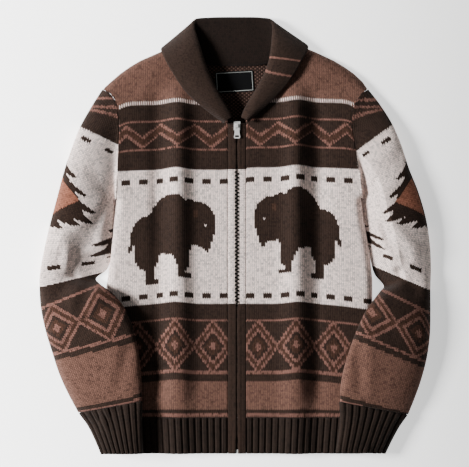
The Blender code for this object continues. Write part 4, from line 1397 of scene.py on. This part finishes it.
def build_teeth():
    """Wedge-shaped blocks, wider at the outer end, from the left and the right in turn."""
    low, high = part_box("zip_chain")
    low, high = np.array(low) / MM, np.array(high) / MM
    middle = 0.5 * (low[0] + high[0])
    step = np.arange(low[1] + 1.2, high[1] - 1.0, TOOTH_STEP / 2)
    side = np.where(np.arange(len(step)) % 2 == 0, 1.0, -1.0)
    corner = np.array([(-1, -1, -1), (1, -1, -1), (1, 1, -1), (-1, 1, -1),
                       (-1, -1, 1), (1, -1, 1), (1, 1, 1), (-1, 1, 1)], float)
    blocks = corner[None] * np.array(TOOTH_HALF)
    blocks = np.repeat(blocks, len(step), axis=0)
    outward = blocks[:, :, 0] * side[:, None]
    blocks[:, :, 1] *= np.where(outward > 0, 1.15, 0.75)
    blocks[:, :, 1] += -0.45 * outward
    open_part = np.abs(step - CENTRE[1]) < SHOWN_HALF
    blocks *= np.where(open_part[:, None, None], TOOTH_WIDER, 1.0)
    blocks[:, :, 0] += (middle + side * np.where(open_part, 1.45, 1.25))[:, None]
    blocks[:, :, 1] += step[:, None]
    blocks[:, :, 2] += np.where(open_part, FRONT_REST + FRONT_RISE + 0.5, high[2] - 1.5)[:, None]
    quads = np.array([(0, 3, 2, 1), (4, 5, 6, 7), (0, 1, 5, 4), (1, 2, 6, 5), (2, 3, 7, 6), (3, 0, 4, 7)])
    faces = (quads[None] + 8 * np.arange(len(step))[:, None, None]).reshape(-1, 4)
    points = blocks.reshape(-1, 3)
    teeth = cloth_mesh("zip_teeth", points, faces, np.zeros((len(points), 2)), centre=False)
    teeth.data.shade_flat()
    teeth.data.materials.append(dark_metal)
    return teeth


zip_teeth = build_teeth()
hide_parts("zip_chain")
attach(zip_teeth, "jacket")
print(zip_teeth.name, len(zip_teeth.data.polygons) // 6, "teeth")

# %% [markdown]
# ## The floor
#
# The jacket lies on smooth pale board. The photo's backdrop grows paler towards the left, where the
# light comes from. The board glows a little to match, more at the left: this glow is painted light.

# %% Floor
# painted light: the board's glow, and the strength of that glow at the left and at the right
FLOOR_HALF, PAINTED_GLOW_LEFT, PAINTED_GLOW_RIGHT = 0.45, 3.2, 0.5  # metres over which its glow changes, and the glow
bpy.ops.mesh.primitive_plane_add(size=8)
floor = bpy.context.object
floor.name = "floor"
# matt painted board, with no reflection of the jacket in it; the glow on it is painted light, stronger at
# the left
floor_finish = bpy.data.materials.new("pale_floor")
floor_finish.use_nodes = True
floor_tree = floor_finish.node_tree
floor_shader = floor_tree.nodes["Principled BSDF"]
floor_shader.inputs["Base Color"].default_value = linear("#f4f3f1") + [1.0]
floor_shader.inputs["Roughness"].default_value = 0.9
# painted light: emission makes the board glow, more at the left, though it is no lamp
floor_shader.inputs["Emission Color"].default_value = (1.0, 1.0, 1.0, 1.0)
floor_place = add(floor_tree, "ShaderNodeTexCoord").outputs["Object"]
floor_x = add(floor_tree, "ShaderNodeSeparateXYZ", {"Vector": floor_place}).outputs[0]
inputs = {"Value": floor_x, "From Min": -FLOOR_HALF, "From Max": FLOOR_HALF,
          "To Min": PAINTED_GLOW_LEFT, "To Max": PAINTED_GLOW_RIGHT}
painted_light_glow = add(floor_tree, "ShaderNodeMapRange", inputs)
floor_tree.links.new(painted_light_glow.outputs[0], floor_shader.inputs["Emission Strength"])
floor.data.materials.append(floor_finish)
print("floor:", round(floor.dimensions.x, 1), "m across")

# %% [markdown]
# ## The light
#
# One large soft lamp stands low at the left, so the folds are lit on their left sides and shaded on
# their right, as in the photo. A weak, slightly green-blue room light keeps the shades open.

# %% Lights


def area_light(name, place, aim, size, power):
    """A square lamp at a place in metres, turned to face the aim."""
    lamp = bpy.data.lights.new(name, "AREA")
    lamp.shape = "SQUARE"
    lamp.size = size
    lamp.energy = power
    holder = bpy.data.objects.new(name, lamp)
    holder.location = place
    direction = Vector(aim) - Vector(place)
    holder.rotation_euler = direction.to_track_quat("-Z", "Y").to_euler()
    bpy.context.scene.collection.objects.link(holder)
    return holder


area_light("key_light", (-4.7, 0.45, 2.75), (0, 0, 0), 1.4, 900)
world = bpy.data.worlds.new("studio")
world.use_nodes = True
world.node_tree.nodes["Background"].inputs[0].default_value = (0.95, 1.0, 1.0, 1.0)
world.node_tree.nodes["Background"].inputs[1].default_value = 0.17
bpy.context.scene.world = world
print("lamps:", len(bpy.data.lights))

# %% [markdown]
# ## The camera
#
# The photo was taken from straight above with little perspective, so the camera is high and its lens
# is long. It is moved by a few millimetres so that the jacket sits where it does in the photo.

# %% Camera
VIEW_WIDTH = 0.7973   # metres across the picture at the jacket
CAMERA_HEIGHT = 3.0
view = bpy.data.cameras.new("camera")
view.sensor_width = 36.0
view.lens = 36.0 * CAMERA_HEIGHT / VIEW_WIDTH
camera = bpy.data.objects.new("camera", view)
camera.location = (-0.0013, 0.0029, CAMERA_HEIGHT + 0.015)
bpy.context.scene.collection.objects.link(camera)
bpy.context.scene.camera = camera
print("lens", round(view.lens, 1), "mm")
